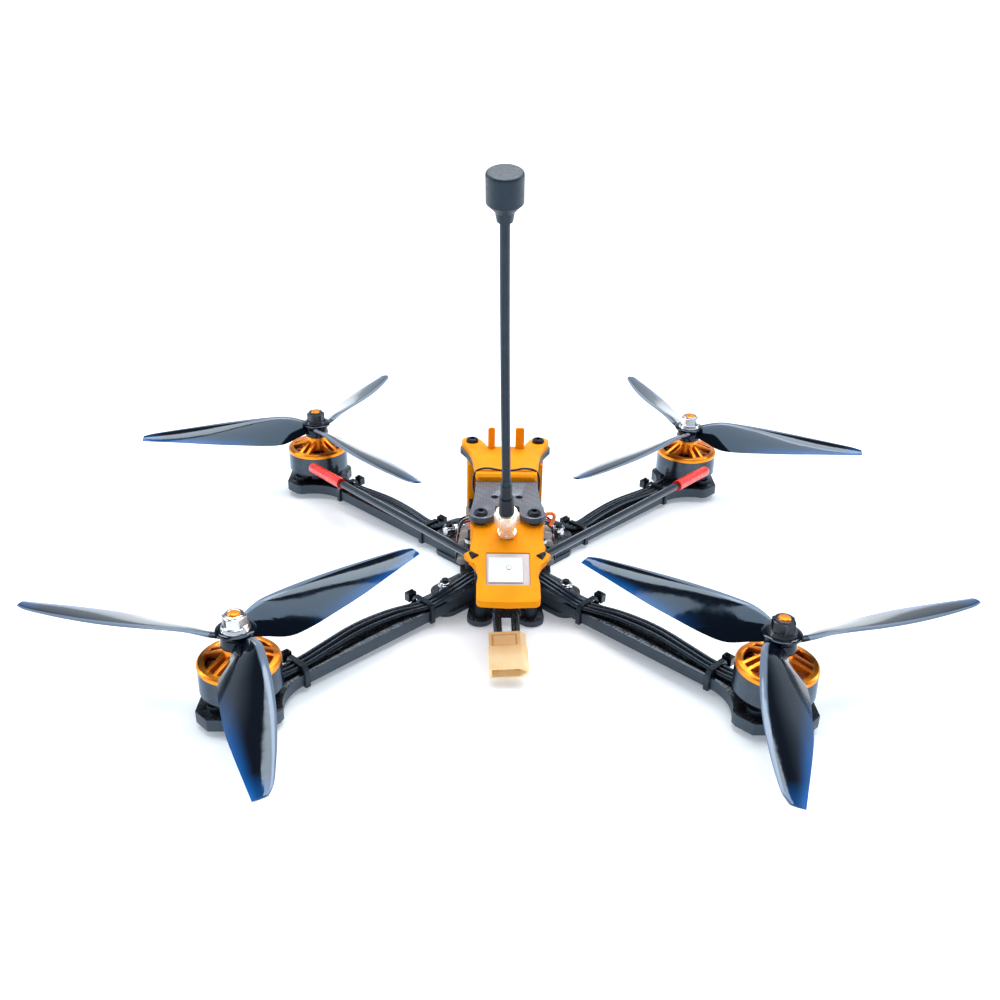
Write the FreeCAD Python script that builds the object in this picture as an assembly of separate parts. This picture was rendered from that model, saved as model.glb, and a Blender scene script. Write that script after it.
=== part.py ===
"""Seven-inch FPV racing quadcopter, built as separate parts in one frame.

Frame: +Y forward, +X right, +Z up, millimetres. The origin is the middle of the
bottom plate's underside. One STEP file is written for each sub-part.
"""
import FreeCAD, Part
import math
import os

V = FreeCAD.Vector
UP = V(0, 0, 1)

# ---- driving dimensions (mm) ----
MOTOR_XY = 99.0            # motor axes at (+-99, +-99): wheelbase 280
BOTTOM_T = 2.5             # bottom plate thickness
ARM_T = 5.0
ARM_HALF = 5.5             # half width of an arm
MID_T = 2.5
FRONT_T = 3.0              # printed pad on the top plate
TOP_T = 2.5
PLATE_GAP = 49.0           # height of the top plate's underside
REAR_POST = (11.0, -34.5)  # rear standoff axis, right side
FRONT_POST = (15.4, 34.5)  # front standoff axis, right side
POST_R = 2.5
ARM_BOLT = 26.2            # outer arm bolts at (+-26.2, +-26.2)
STACK_BOLT = 15.25         # 30.5 mm electronics pattern, also through the arms
M3_R = 1.5
M3_HOLE_R = 1.6

PAD_FLAT = 15.4            # motor pad: half width over its flats
PAD_CORNER = 10.1          # half length of each flat
MOTOR_HOLE = 8.0           # motor screws at (+-8, +-8) from the axis
BELL_R = 15.4
STATOR_R = 12.4
SHAFT_R = 2.0
RUN_GAP = 0.05             # running clearance on the shaft, radial
STUB_R = 2.45
BLADE_Z = 33.9             # middle plane of the propellers
PROP_R = 88.9              # 7 inch propeller

ARM_TOP = BOTTOM_T + ARM_T
MID_TOP = ARM_TOP + MID_T
TOP_TOP = PLATE_GAP + TOP_T
BELL_BOTTOM = ARM_TOP + 4.9
RING_TOP = BELL_BOTTOM + 9.8
CAP_TOP = RING_TOP + 2.2
BOSS_TOP = BLADE_Z - 4.0
HUB_H = 7.2
HUB_BOTTOM = BOSS_TOP
HUB_TOP = HUB_BOTTOM + HUB_H
STUB_TOP = HUB_TOP + 6.6
SHAFT_TOP = BOSS_TOP - 1.5

# name, x side, y side, turning sense (1 = anticlockwise from above), blade azimuth
CORNERS = [
    ("rear_left", -1, -1, 1, 52.0),
    ("rear_right", 1, -1, -1, 13.5),
    ("front_left", -1, 1, -1, 65.5),
    ("front_right", 1, 1, 1, 108.5),
]

# blade sections: radius, chord, leading edge ahead of the blade's axis, pitch in degrees
BLADE = [
    (4.6, 7.8, 4.6, 30.0),
    (10.0, 12.9, 6.2, 33.0),
    (17.0, 18.8, 6.8, 31.0),
    (26.0, 20.1, 6.6, 27.0),
    (38.0, 19.4, 5.8, 22.0),
    (52.0, 17.5, 4.0, 17.0),
    (66.0, 13.8, 1.2, 13.5),
    (77.0, 10.3, -1.5, 11.5),
    (84.0, 7.7, -3.6, 10.5),
    (88.0, 5.1, -5.9, 10.0),
]

# ---- hood and plug ----
# electronics stack, camera, leads and ties
BOARD_T = 1.6
ESC_Z = 13.0
FC_Z = 20.4
VTX_Z = 28.2
CAMERA_HALF = 9.5
CAGE_HALF = 17.8
CAMERA_Y = 35.5
CAMERA_Z = 36.0
PIVOT_R = 1.0
ARM_LEAD_R = 1.0
LEAD_PITCH = 2.5
OUTLET_AT = 14.9           # lead outlet's face, from the motor axis
LEAD_END_Z = ARM_TOP + 1.7
TIE_INNER = {"rear_left": 50.0, "rear_right": 49.7, "front_left": 51.0, "front_right": 51.0}
TIE_OUTER = 115.2
PAD_X = (11.5, 9.2, 6.9)   # motor lead pads on the speed controller
PAD_Y = 15.6

# rear mount, satellite receiver, antenna and battery plug
HOOD_SLOPE = 17.3          # degrees, falling to the rear
HOOD_REAR_Y = -76.6
HOOD_REAR_Z = 35.0
HOOD_T = 2.8
GPS_SIDE = 17.2
GPS_MID_Y = -59.8
ANTENNA_LEAN = 17.3        # degrees back from upright, square to the hood
ANTENNA_BASE = V(-0.3, -40.9, 46.1)
ANTENNA_SWAY = -0.03       # sideways lean, straightening above SWAY_FROM
SWAY_FROM = 50.0
CAP_BASE = 143.4
STALK_R = 1.72
DRUM_R = 6.1
PLUG_TILT = 27.0
PLUG_YAW = 3.0
PLUG_ROLL = -3.5           # right side up
PLUG_SIZE = (15.6, 16.4, 8.1)   # width, length, height
PLUG_REAR = V(0, -66.9, 13.3)   # middle of the plug's back face
LEAD_R = 1.75
LEAD_X = 3.6
LUG_Y = 14.6                    # battery lugs' rear faces, behind the centre

# receiver antennas: socket point and tip
TUBE_ROOT = {"left": V(-13.6, -53.0, 41.6), "right": V(13.2, -53.0, 41.6)}
TUBE_TIP = {"left": V(-98.7, 75.2, 21.9), "right": V(105.5, 76.0, 21.9)}
TUBE_R = 1.65
CAP_R = 2.6
CAP_LEN = 35.0


# ---- helpers ----
def save(name, *solids):
    """Write one node: one solid, or a group of separate solids."""
    shape = solids[0] if len(solids) == 1 else Part.makeCompound(list(solids))
    shape.exportStep("parts/%s.step" % name)


def cyl(radius, height, x=0.0, y=0.0, z=0.0, axis=UP):
    return Part.makeCylinder(radius, height, V(x, y, z), axis)


def ring(outer, inner, height, z=0.0):
    return cyl(outer, height, z=z).cut(cyl(inner, height + 2, z=z - 1))


def block(sx, sy, sz, x=0.0, y=0.0, z=0.0):
    """Box centred on (x, y) standing on z."""
    return Part.makeBox(sx, sy, sz, V(x - sx / 2, y - sy / 2, z))


def prism(points, z, height):
    """Extrude a closed outline; a three-point tuple in the list is an arc through its middle."""
    edges = []
    here = points[0]
    for item in points[1:] + [points[0]]:
        if isinstance(item[0], tuple):
            middle, end = item
            edges.append(Part.Arc(V(*here, z), V(*middle, z), V(*end, z)).toShape())
        else:
            end = item
            edges.append(Part.LineSegment(V(*here, z), V(*end, z)).toShape())
        here = end
    return Part.Face(Part.Wire(edges)).extrude(V(0, 0, height))


def capsule(p, q, radius, z, height):
    """Slab with round ends from p to q."""
    length = math.hypot(q[0] - p[0], q[1] - p[1])
    slab = block(length, 2 * radius, height, length / 2, 0, z)
    slab.rotate(V(), UP, math.degrees(math.atan2(q[1] - p[1], q[0] - p[0])))
    slab.translate(V(p[0], p[1], 0))
    return slab.fuse([cyl(radius, height, *p, z), cyl(radius, height, *q, z)]).removeSplitter()


def hexagon(across_flats, height, z=0.0):
    radius = across_flats / math.sqrt(3)
    corners = [(radius * math.cos(a * math.pi / 3), radius * math.sin(a * math.pi / 3)) for a in range(6)]
    return prism(corners, z, height)


def placed(shape, x=0.0, y=0.0, z=0.0, turn=0.0):
    out = shape.copy()
    out.rotate(V(), UP, turn)
    out.translate(V(x, y, z))
    return out


def mirrored(shape):
    return shape.mirror(V(), V(1, 0, 0))


def four(x, y):
    return [(sx * x, sy * y) for sx in (-1, 1) for sy in (-1, 1)]


def tube(points, radius, label):
    """Round cord: straight runs joined by tangent arcs, as wide as the runs allow."""
    edges, radii, length = [], [], 0.0
    start = points[0]
    for before, corner, after in zip(points, points[1:], points[2:]):
        a, b = corner - before, after - corner
        turn = a.getAngle(b)
        setback = 0.45 * min(a.Length, b.Length)
        bend = setback / math.tan(turn / 2)
        radii.append(bend)
        first = corner - a * (setback / a.Length)
        last = corner + b * (setback / b.Length)
        inward = (b * (1 / b.Length) - a * (1 / a.Length)).normalize()
        middle = corner + inward * (bend / math.cos(turn / 2) - bend)
        edges.append(Part.LineSegment(start, first).toShape())
        edges.append(Part.Arc(first, middle, last).toShape())
        length += (first - start).Length + bend * turn
        start = last
    edges.append(Part.LineSegment(start, points[-1]).toShape())
    length += (points[-1] - start).Length
    circle = Part.Wire(Part.makeCircle(radius, points[0], points[1] - points[0]))
    solid = Part.Wire(edges).makePipe(Part.Face(circle))
    ratio = solid.Volume / (math.pi * radius ** 2 * length)
    print("%s: length %.1f, volume ratio %.4f, radii %s"
          % (label, length, ratio, " ".join("%.0f" % r for r in radii)))
    return solid


def countersunk(x, y, length):
    """M3 countersunk screw from below, its head flush with z = 0."""
    head = Part.makeCone(2.9, M3_R, 1.6, V(x, y, 0))
    socket = placed(hexagon(2.0, 1.0), x, y)
    return head.fuse(cyl(M3_R, length, x, y, 0)).removeSplitter().cut(socket)


def button_head(x, y, z, length, down=True):
    """M3 button-head screw; the head stands on z and the shank leaves it the other way."""
    dome = cyl(2.85, 1.7, z=0)
    dome = dome.makeFillet(1.2, [e for e in dome.Edges if e.BoundBox.ZMin > 1.6])
    dome = dome.cut(hexagon(2.0, 1.2, 0.7))
    screw = dome.fuse(cyl(M3_R, length, z=-length)).removeSplitter()
    if not down:
        screw = screw.mirror(V(), UP)
    return placed(screw, x, y, z)


# ---- frame ----
def sandwich_outline(z, height, reach):
    """X-shaped plate that clamps the four arm roots."""
    parts = [block(31, 42, height, 0, 0, z)]
    for sx, sy in four(1, 1):
        parts.append(capsule((sx * 12, sy * 12), (sx * reach, sy * reach), 6.4, z, height))
    return parts[0].fuse(parts[1:]).removeSplitter()


def bottom_plate():
    plate = sandwich_outline(0, BOTTOM_T, ARM_BOLT)
    lobes = []
    for sx in (-1, 1):
        x, y = REAR_POST
        lobes.append(capsule((sx * 9, -16), (sx * x, y), 5.6, 0, BOTTOM_T))
        x, y = FRONT_POST
        lobes.append(capsule((sx * 11, 16), (sx * x, y), 5.6, 0, BOTTOM_T))
    plate = plate.fuse(lobes).removeSplitter()
    cuts = []
    for x, y in four(ARM_BOLT, ARM_BOLT) + four(STACK_BOLT, STACK_BOLT) + post_places():
        cuts.append(cyl(M3_HOLE_R, BOTTOM_T, x, y, 0))
        cuts.append(Part.makeCone(3.0, M3_HOLE_R, 1.6, V(x, y, 0)))
    cuts.append(capsule((0, 27), (0, 15), 3.0, 0, BOTTOM_T))
    return plate.cut(cuts)


def post_places():
    rear, front = REAR_POST, FRONT_POST
    return [(s * p[0], p[1]) for s in (-1, 1) for p in (rear, front)]


def mid_plate():
    plate = sandwich_outline(ARM_TOP, MID_T, ARM_BOLT)
    cuts = [cyl(M3_HOLE_R, MID_T, x, y, ARM_TOP)
            for x, y in four(ARM_BOLT, ARM_BOLT) + four(STACK_BOLT, STACK_BOLT)]
    return plate.cut(cuts)


def arm():
    """One arm along +X from the frame's centre, its motor pad at the end."""
    reach = MOTOR_XY * math.sqrt(2)
    tip = (PAD_FLAT + PAD_CORNER) / math.sqrt(2)
    side = (PAD_FLAT - PAD_CORNER) / math.sqrt(2)
    half = ARM_HALF
    root = 10.0
    upper = [
        (root + half, half), (reach - 23, half),
        ((reach - 13.5, half + 3.1), (reach - side - 2.5, tip - 1.2)),
        (reach - side, tip), (reach + side, tip), (reach + tip, side),
    ]
    lower = [
        (reach + tip, -side), (reach + side, -tip), (reach - side, -tip),
        (reach - side - 2.5, -tip + 1.2), ((reach - 13.5, -half - 3.1), (reach - 23, -half)),
        (root + half, -half),
    ]
    slab = prism([(root, 0)] + upper + lower, BOTTOM_T, ARM_T)
    holes = [cyl(M3_HOLE_R, ARM_T, math.sqrt(2) * u, 0, BOTTOM_T) for u in (STACK_BOLT, ARM_BOLT)]
    holes.append(cyl(3.5, ARM_T, reach, 0, BOTTOM_T))
    for turn in range(4):
        a = math.radians(90 * turn)
        r = MOTOR_HOLE * math.sqrt(2)
        holes.append(cyl(M3_HOLE_R, ARM_T, reach + r * math.cos(a), r * math.sin(a), BOTTOM_T))
    return slab.cut(holes)


def top_plate():
    x, y = REAR_POST
    fx, fy = FRONT_POST
    outline = [
        (5.0, y + 7), (5.0, y + 0.5), ((x - 1.0, y - 4.1), (x + 4.8, y - 0.2)),
        ((13.6, -13.0), (13.4, -4.0)), ((14.2, 14.0), (fx + 5.4, fy - 2.0)),
        ((fx + 3.6, fy + 4.3), (fx - 2.0, fy + 5.2)), ((11.5, fy), (8.0, fy - 5.0)),
    ]
    right_half = prism([(0, y + 9.0)] + outline + [(0, fy - 5.0)], PLATE_GAP, TOP_T)
    plate = right_half.fuse(mirrored(right_half)).removeSplitter()
    cuts = [cyl(M3_HOLE_R, TOP_T, px, py, PLATE_GAP) for px, py in post_places()]
    cuts += [cyl(1.6, TOP_T, s * 5.2, -18.5, PLATE_GAP) for s in (-1, 1)]
    return plate.cut(cuts)


def standoffs():
    out = []
    for x, y in post_places():
        post = cyl(POST_R, PLATE_GAP - BOTTOM_T, x, y, BOTTOM_T)
        for z in (BOTTOM_T, PLATE_GAP - 9):
            post = post.cut(cyl(M3_R + 0.05, 9, x, y, z))
        out.append(post)
    return out


def stack_spacers():
    """Rubber grommets and nylon spacers under each board."""
    out = []
    for x, y in four(STACK_BOLT, STACK_BOLT):
        for low, high in ((MID_TOP, ESC_Z), (ESC_Z + BOARD_T, FC_Z), (FC_Z + BOARD_T, VTX_Z)):
            spacer = cyl(2.6, high - low, x, y, low).cut(cyl(M3_R + 0.05, high - low, x, y, low))
            out.append(spacer)
    return out


def lock_nut(x, y, z):
    body = cyl(3.0, 0.5).fuse([placed(hexagon(5.5, 2.9), z=0.4), cyl(2.45, 4.2)]).removeSplitter()
    return placed(body.cut(cyl(M3_R + 0.05, 5, z=-0.5)), x, y, z, 17)


def frame_screws():
    out = [countersunk(x, y, 15.4) for x, y in four(ARM_BOLT, ARM_BOLT)]
    out += [countersunk(x, y, VTX_Z + BOARD_T + 3.4) for x, y in four(STACK_BOLT, STACK_BOLT)]
    out += [countersunk(x, y, 10.0) for x, y in post_places()]
    for _, sx, sy, _, _ in CORNERS:
        for dx, dy in four(MOTOR_HOLE, MOTOR_HOLE):
            out.append(button_head(sx * MOTOR_XY + dx, sy * MOTOR_XY + dy, BOTTOM_T, 7.0, down=False))
    return out


# ---- electronics ----
def board(side, z):
    pcb = block(side, side, BOARD_T, 0, 0, z)
    pcb = pcb.makeFillet(3.0, [e for e in pcb.Edges if e.Length < BOARD_T + 0.01])
    return pcb.cut([cyl(M3_R + 0.15, BOARD_T, x, y, z) for x, y in four(STACK_BOLT, STACK_BOLT)])


def esc_board():
    """Four-in-one speed controller: transistor rows, driver chips and lead pads."""
    top = ESC_Z + BOARD_T
    parts = [board(40, ESC_Z)]
    for sx, sy in four(1, 1):
        for row in range(3):
            parts.append(block(3.2, 5.0, 1.0, sx * (5.2 + 3.9 * row), sy * 9.5, top))
        parts.append(block(4.0, 4.0, 0.9, sx * 6.0, sy * 3.4, top))
    parts.append(block(9.0, 3.2, 4.2, 0, 17.6, top))
    for sx, sy in four(1, 1):
        for x in PAD_X:
            parts.append(block(1.9, 2.0, 2.2, sx * x, sy * (PAD_Y - 1.15), top))
    for side in (-1, 1):
        parts.append(block(4.0, 2.8, 4.7, side * LEAD_X, -LUG_Y + 1.65, top))
    return parts[0].fuse(parts[1:]).removeSplitter()


def flight_controller():
    """Flight controller with its processor, plug sockets and USB socket."""
    top = FC_Z + BOARD_T
    parts = [board(37, FC_Z), block(9, 9, 1.0, 0, 1.5, top), block(3.2, 3.2, 0.9, 9, -3, top)]
    for side in (-1, 1):
        parts.append(block(3.6, 9.0, 3.4, side * 16.4, 3.0, top))
        parts.append(block(3.6, 6.0, 3.4, side * 16.4, -6.5, top))
    parts.append(block(8.0, 6.6, 2.9, -2.0, -15.4, top))
    return parts[0].fuse(parts[1:]).removeSplitter()


def video_transmitter():
    """Video transmitter under its metal shield can."""
    top = VTX_Z + BOARD_T
    can = block(23, 22, 4.4, 0, 2, top)
    can = can.makeFillet(0.8, [e for e in can.Edges if e.BoundBox.ZMin > top + 4.3])
    socket = cyl(1.5, 2.4, 0, -15.5, top)
    return board(36, VTX_Z).fuse([can, socket, block(6, 3.4, 3.2, 10, -15.6, top)]).removeSplitter()


# ---- motors ----
def motor_base():
    """Bottom housing: feet with tapped holes, bearing tube, skirt and lead outlet."""
    z = ARM_TOP
    feet = [capsule((0, 0), (dx, dy), 3.4, z, 2.6) for dx, dy in four(MOTOR_HOLE, MOTOR_HOLE)]
    skirt = cyl(12.6, 1.6, z=z + 2.2).cut(cyl(9.0, 0.8, z=z + 3.2))
    column = cyl(4.2, RING_TOP - 2.2 - z, z=z)
    outlet = placed(block(5.0, 8.2, 3.0, -OUTLET_AT + 2.5, 0, z), turn=45)
    base = column.fuse(feet + [skirt, outlet]).removeSplitter()
    cuts = [cyl(SHAFT_R + RUN_GAP, 30, z=z)]
    cuts += [cyl(M3_R + 0.05, 2.4, dx, dy, z) for dx, dy in four(MOTOR_HOLE, MOTOR_HOLE)]
    window = block(5.2, 2.6, 2.6, 11.6, 0, z + 1.9)
    cuts += [placed(window, turn=45 + 30 * k) for k in range(12) if k % 3]
    for k in (-1, 0, 1):
        bore = cyl(ARM_LEAD_R - 0.2, 4, -OUTLET_AT, LEAD_PITCH * k, LEAD_END_Z, V(1, 0, 0))
        cuts.append(placed(bore, turn=45))
    return base.cut(cuts)


def stator():
    """Twelve wound teeth round a core that is pressed over the bearing tube."""
    z = BELL_BOTTOM + 1.6
    core = ring(6.4, 4.25, 7.0, z)
    tip_ring = ring(STATOR_R, 11.3, 7.0, z)
    slot = block(4.0, 1.5, 8.0, STATOR_R, 0, z - 0.5)
    tips = tip_ring.cut([placed(slot, turn=30 * k + 15) for k in range(12)])
    tooth = block(5.6, 1.6, 7.0, 8.8, 0, z)
    coil = block(4.4, 3.3, 8.6, 8.9, 0, z - 0.8)
    coil = coil.makeFillet(0.7, [e for e in coil.Edges if abs(e.tangentAt(e.FirstParameter).x) > 0.9])
    whole = core.fuse([tips] + [placed(s, turn=30 * k) for k in range(12) for s in (tooth, coil)])
    return whole.removeSplitter()


def flux_ring():
    """Steel ring with its fourteen arc magnets."""
    steel = ring(BELL_R, 14.1, RING_TOP - BELL_BOTTOM, BELL_BOTTOM)
    steel = steel.makeChamfer(0.4, [e for e in steel.Edges
                                    if e.BoundBox.ZMax < BELL_BOTTOM + 0.1 and e.BoundBox.XMax > 15])
    face = Part.Face(Part.Wire(arc_band(14.1, 12.8, 22.5, BELL_BOTTOM + 0.5)))
    magnet = face.extrude(V(0, 0, 8.6))
    return [steel] + [placed(magnet, turn=k * 360 / 14) for k in range(14)]


def arc_band(outer, inner, sweep, z):
    """Edges of a flat band between two radii, centred on +X."""
    half = math.radians(sweep / 2)

    def at(radius, angle):
        return V(radius * math.cos(angle), radius * math.sin(angle), z)

    return [
        Part.Arc(at(outer, -half), at(outer, 0), at(outer, half)).toShape(),
        Part.LineSegment(at(outer, half), at(inner, half)).toShape(),
        Part.Arc(at(inner, half), at(inner, 0), at(inner, -half)).toShape(),
        Part.LineSegment(at(inner, -half), at(outer, -half)).toShape(),
    ]


def bell_cap():
    """Turned cap: rim, pairs of raked spokes, centre boss and the M5 stub."""
    rim = ring(BELL_R, 12.5, CAP_TOP - RING_TOP, RING_TOP)
    rim = rim.makeChamfer(0.7, [e for e in rim.Edges
                                if e.BoundBox.ZMin > CAP_TOP - 0.1 and e.BoundBox.XMax > 15])
    boss = Part.makeCone(6.0, 4.7, BOSS_TOP - RING_TOP - 1.0, V(0, 0, RING_TOP + 1.0))
    stub = cyl(STUB_R, STUB_TOP - BOSS_TOP + 1, z=BOSS_TOP - 1)
    stub = stub.makeChamfer(0.5, [e for e in stub.Edges if e.BoundBox.ZMin > STUB_TOP - 0.1])
    profile = [V(4.0, 0, BOSS_TOP - 1.4), V(13.6, 0, CAP_TOP - 0.1),
               V(13.6, 0, CAP_TOP - 2.1), V(4.0, 0, BOSS_TOP - 4.4)]
    web = Part.Face(Part.makePolygon(profile + profile[:1])).extrude(V(0, 1.5, 0))
    web.translate(V(0, -0.75, 0))
    spokes = []
    for k in range(5):
        for lean in (-1, 1):
            spoke = web.copy()
            spoke.rotate(V(4.0, 0, 0), UP, lean * 24)
            spokes.append(placed(spoke, turn=72 * k + lean * 10))
    cap = rim.fuse([boss, stub] + spokes).removeSplitter()
    return cap.cut(cyl(SHAFT_R, SHAFT_TOP - RING_TOP, z=RING_TOP))


def motor_shaft():
    return cyl(SHAFT_R, SHAFT_TOP - ARM_TOP - 0.4, z=ARM_TOP + 0.4)


# ---- propellers ----
def blade_section(radius, chord, lead, pitch, thick):
    """Closed aerofoil outline in the plane across the blade, leading edge on +Y."""
    half = 0.5 * thick
    shape = [(0.0, 0.0), (0.12, 0.75), (0.35, 1.0), (0.7, 0.62), (1.0, 0.12)]
    upper = [(s * chord, t * half * 1.3) for s, t in shape]
    lower = [(s * chord, -t * half * 0.7) for s, t in shape[1:]]
    tilt = math.radians(pitch)

    def put(along, height):
        y = lead - along * math.cos(tilt) - height * math.sin(tilt)
        z = (0.45 * chord - along) * math.sin(tilt) + height * math.cos(tilt)
        return V(radius, y, z)

    top = Part.BSplineCurve()
    top.interpolate([put(*p) for p in upper])
    low = Part.BSplineCurve()
    low.interpolate([put(*p) for p in [upper[0]] + lower])
    trail = Part.LineSegment(put(*upper[-1]), put(*lower[-1]))
    return Part.Wire([top.toShape(), trail.toShape(), low.toShape()])


def propeller():
    """Anticlockwise three-blade propeller at the origin, its first blade along +X."""
    wires = []
    for radius, chord, lead, pitch in BLADE:
        thick = 0.8 + 1.9 * (1 - radius / PROP_R)
        wires.append(blade_section(radius, chord, lead, pitch, thick))
    blade = Part.makeLoft(wires, True, False)
    base = HUB_BOTTOM - BLADE_Z
    hub = cyl(6.0, HUB_H, z=base)
    hub = hub.fuse(Part.makeCone(5.0, 7.4, 3.2, V(0, 0, base + HUB_H - 3.2)))
    whole = hub.fuse([placed(blade, turn=120 * k) for k in range(3)])
    bore = cyl(STUB_R, HUB_H + 4, z=base - 2)
    return whole.cut(bore)


def prop_nut():
    """Flanged M5 lock nut."""
    flange = Part.makeCone(5.6, 4.9, 1.6, V(0, 0, HUB_TOP))
    body = hexagon(8.0, 4.6, HUB_TOP + 0.8)
    crown = cyl(3.5, 6.2, z=HUB_TOP)
    nut = flange.fuse([body, crown]).removeSplitter()
    trim = Part.makeCone(5.5, 2.6, 5.0, V(0, 0, HUB_TOP + 3.9)).fuse(cyl(6, 3.9, z=HUB_TOP))
    return nut.common(trim).cut(cyl(STUB_R, 8, z=HUB_TOP - 1))


# ---- motor leads and ties ----
def arm_place(sx, sy, u, v, z):
    """Point u along the arm and v across it, positive towards the nearer end of the body."""
    k = 1 / math.sqrt(2)
    return V(k * (sx * u - sx * v), k * (sy * u + sy * v), z)


def motor_leads():
    """Three leads to each motor: round the outer bolt, under both ties, to the motor's outlet."""
    out = []
    low = ARM_TOP + ARM_LEAD_R + 0.05
    high = ESC_Z + BOARD_T + ARM_LEAD_R + 0.3
    end = MOTOR_XY * math.sqrt(2) - OUTLET_AT
    for name, sx, sy, _, _ in CORNERS:
        bow = 1.8 if sy > 0 else -2.4
        for k in range(3):
            row = LEAD_PITCH * (k - 1)
            wave = (0.0, 0.4, -0.2)[k]
            route = [
                (39.0, 6.8 + 0.92 * row, low + 5.6), (47.0, 2.9 + 0.92 * row, low + 0.6),
                (54.0, 0.4 + 0.95 * row, low + 0.05),
                (66.0, row + 0.8 * bow, low + 1.2 + wave), (84.0, row + 1.1 * bow, low + 1.9 + wave),
                (101.0, row + 0.5 * bow, low + 0.9), (115.0, row, low + 0.1), (end, row, LEAD_END_Z),
            ]
            pad = V(sx * PAD_X[k], sy * (PAD_Y + 0.3), high)
            turn = V(sx * (PAD_X[k] + 0.8), sy * (PAD_Y + 6.0 + k), high + 2.2)
            points = [pad, turn] + [arm_place(sx, sy, u, v, z) for u, v, z in route]
            out.append(tube(points, ARM_LEAD_R, "motor lead %s %d" % (name, k + 1)))
    return out


def tie_loop(u, width, side_gap, low, high, corner):
    """Solid block round an arm's section, its two top edges cut off."""
    loop = block(width, 2 * (ARM_HALF + side_gap), high - low, u, 0, low)
    edges = [e for e in loop.Edges if e.BoundBox.ZMin > high - 0.1 and e.BoundBox.XLength > 2]
    return loop.makeChamfer(corner, edges)


def zip_ties():
    """Two ties round each arm and its leads, with their heads on the arm's forward side."""
    out = []
    top = ARM_TOP + 2 * ARM_LEAD_R + 1.0
    for name, sx, sy, _, _ in CORNERS:
        for u in (TIE_INNER[name], TIE_OUTER):
            outer = tie_loop(u, 2.5, 1.0, BOTTOM_T - 0.95, top + 0.9, 1.2)
            inner = tie_loop(u, 3.5, 0.05, BOTTOM_T - 0.05, top, 0.5)
            head = block(4.6, 3.4, 4.2, u, sx * (ARM_HALF + 2.6), ARM_TOP - 0.6)
            tie = outer.fuse(head).removeSplitter().cut(inner)
            out.append(placed(tie, turn=math.degrees(math.atan2(sy, sx))))
    return out


# ---- printed mounts ----
def front_mount():
    """Printed pad on the top plate's front, with ears and two fins."""
    x, y = FRONT_POST
    z = TOP_TOP
    rear = -3.0
    half = [
        (11.8, rear), ((13.0, rear + 0.5), (13.3, rear + 1.6)), ((13.8, 4.0), (14.6, 10.0)),
        ((15.6, 20.0), (x + 4.4, y - 1.5)),
        ((x + 3.4, y + 4.4), (x - 1.4, y + 5.6)), ((10.8, y + 0.5), (8.4, y - 5.6)),
    ]
    slab = prism([(0, rear)] + half + [(0, y - 5.6)], z, FRONT_T)
    slab = slab.fuse(mirrored(slab)).removeSplitter()
    bevel = block(40, 1.5, 1.5, 0, 0, -0.75)
    bevel.rotate(V(), V(1, 0, 0), 45)
    bevel.translate(V(0, rear, z + FRONT_T))
    slab = slab.cut([bevel]).cut(cyl(0.8, 40, -20, rear + 4.4, z + FRONT_T + 0.1, V(1, 0, 0)))
    fin_face = Part.Face(Part.Wire([
        Part.LineSegment(V(0, y - 8.4, z), V(0, y - 8.4, z + 13.2)).toShape(),
        Part.Arc(V(0, y - 8.4, z + 13.2), V(0, y - 6.0, z + 12.5), V(0, y - 4.6, z + 9.0)).toShape(),
        Part.LineSegment(V(0, y - 4.6, z + 9.0), V(0, y - 5.6, z)).toShape(),
        Part.LineSegment(V(0, y - 5.6, z), V(0, y - 8.4, z)).toShape(),
    ]))
    fins = []
    for left, wide in ((-8.1, 3.2), (4.5, 4.0)):
        fin = fin_face.extrude(V(wide, 0, 0))
        top_corners = [e for e in fin.Edges if e.BoundBox.ZMin > z + 8.5 and e.BoundBox.XLength < 0.1]
        fin = fin.makeFillet(0.9, top_corners)
        fin.translate(V(left, 0, 0))
        fins.append(fin)
    slab = slab.fuse(fins).removeSplitter()
    return slab.cut([cyl(M3_HOLE_R, FRONT_T, s * x, y, z) for s in (-1, 1)])


def camera_cage():
    """Printed cradle round the front standoffs that holds the camera by its sides."""
    x, y = FRONT_POST
    top = PLATE_GAP - 0.2
    floor = block(2 * x - 2, 18.0, 2.0, 0, y - 3.0, 21.0)
    solids = [floor]
    for s in (-1, 1):
        solids.append(cyl(4.4, top - 20.5, s * x, y, 20.5))
        wall = block(3.0, 21.0, top - 21.0, s * (CAMERA_HALF + 1.9), y - 2.5, 21.0)
        rib = block(5.0, 3.0, top - 20.5, s * (x - 2.0), y - 10.5, 20.5)
        side = block(2.4, 14.0, top - 20.5, s * (x + 0.4), y - 7.0, 20.5)
        solids += [wall, rib, side]
    cage = solids[0].fuse(solids[1:]).removeSplitter().common(block(2 * CAGE_HALF, 60, 60, 0, y, 0))
    cuts = [cyl(POST_R + 0.1, 60, s * x, y, 0) for s in (-1, 1)]
    cuts.append(cyl(PIVOT_R + RUN_GAP, 60, -30, CAMERA_Y, CAMERA_Z, V(1, 0, 0)))
    return cage.cut(cuts)


def camera_body():
    """Camera case with its two pivot screws."""
    case = block(2 * CAMERA_HALF, 15.0, 19.0, 0, CAMERA_Y - 1.0, CAMERA_Z - 9.5)
    case = case.makeFillet(1.2, [e for e in case.Edges if abs(e.tangentAt(e.FirstParameter).x) < 0.1])
    parts = [case, block(14, 2.5, 14, 0, CAMERA_Y - 9.6, CAMERA_Z - 7)]
    for s in (-1, 1):
        pin_axis = V(s, 0, 0)
        parts.append(cyl(PIVOT_R, 3.0, s * CAMERA_HALF, CAMERA_Y, CAMERA_Z, pin_axis))
    body = parts[0].fuse(parts[1:]).removeSplitter()
    return body.cut(cyl(6.4, 4.0, 0, CAMERA_Y + 2.6, CAMERA_Z, V(0, 1, 0)))


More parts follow.
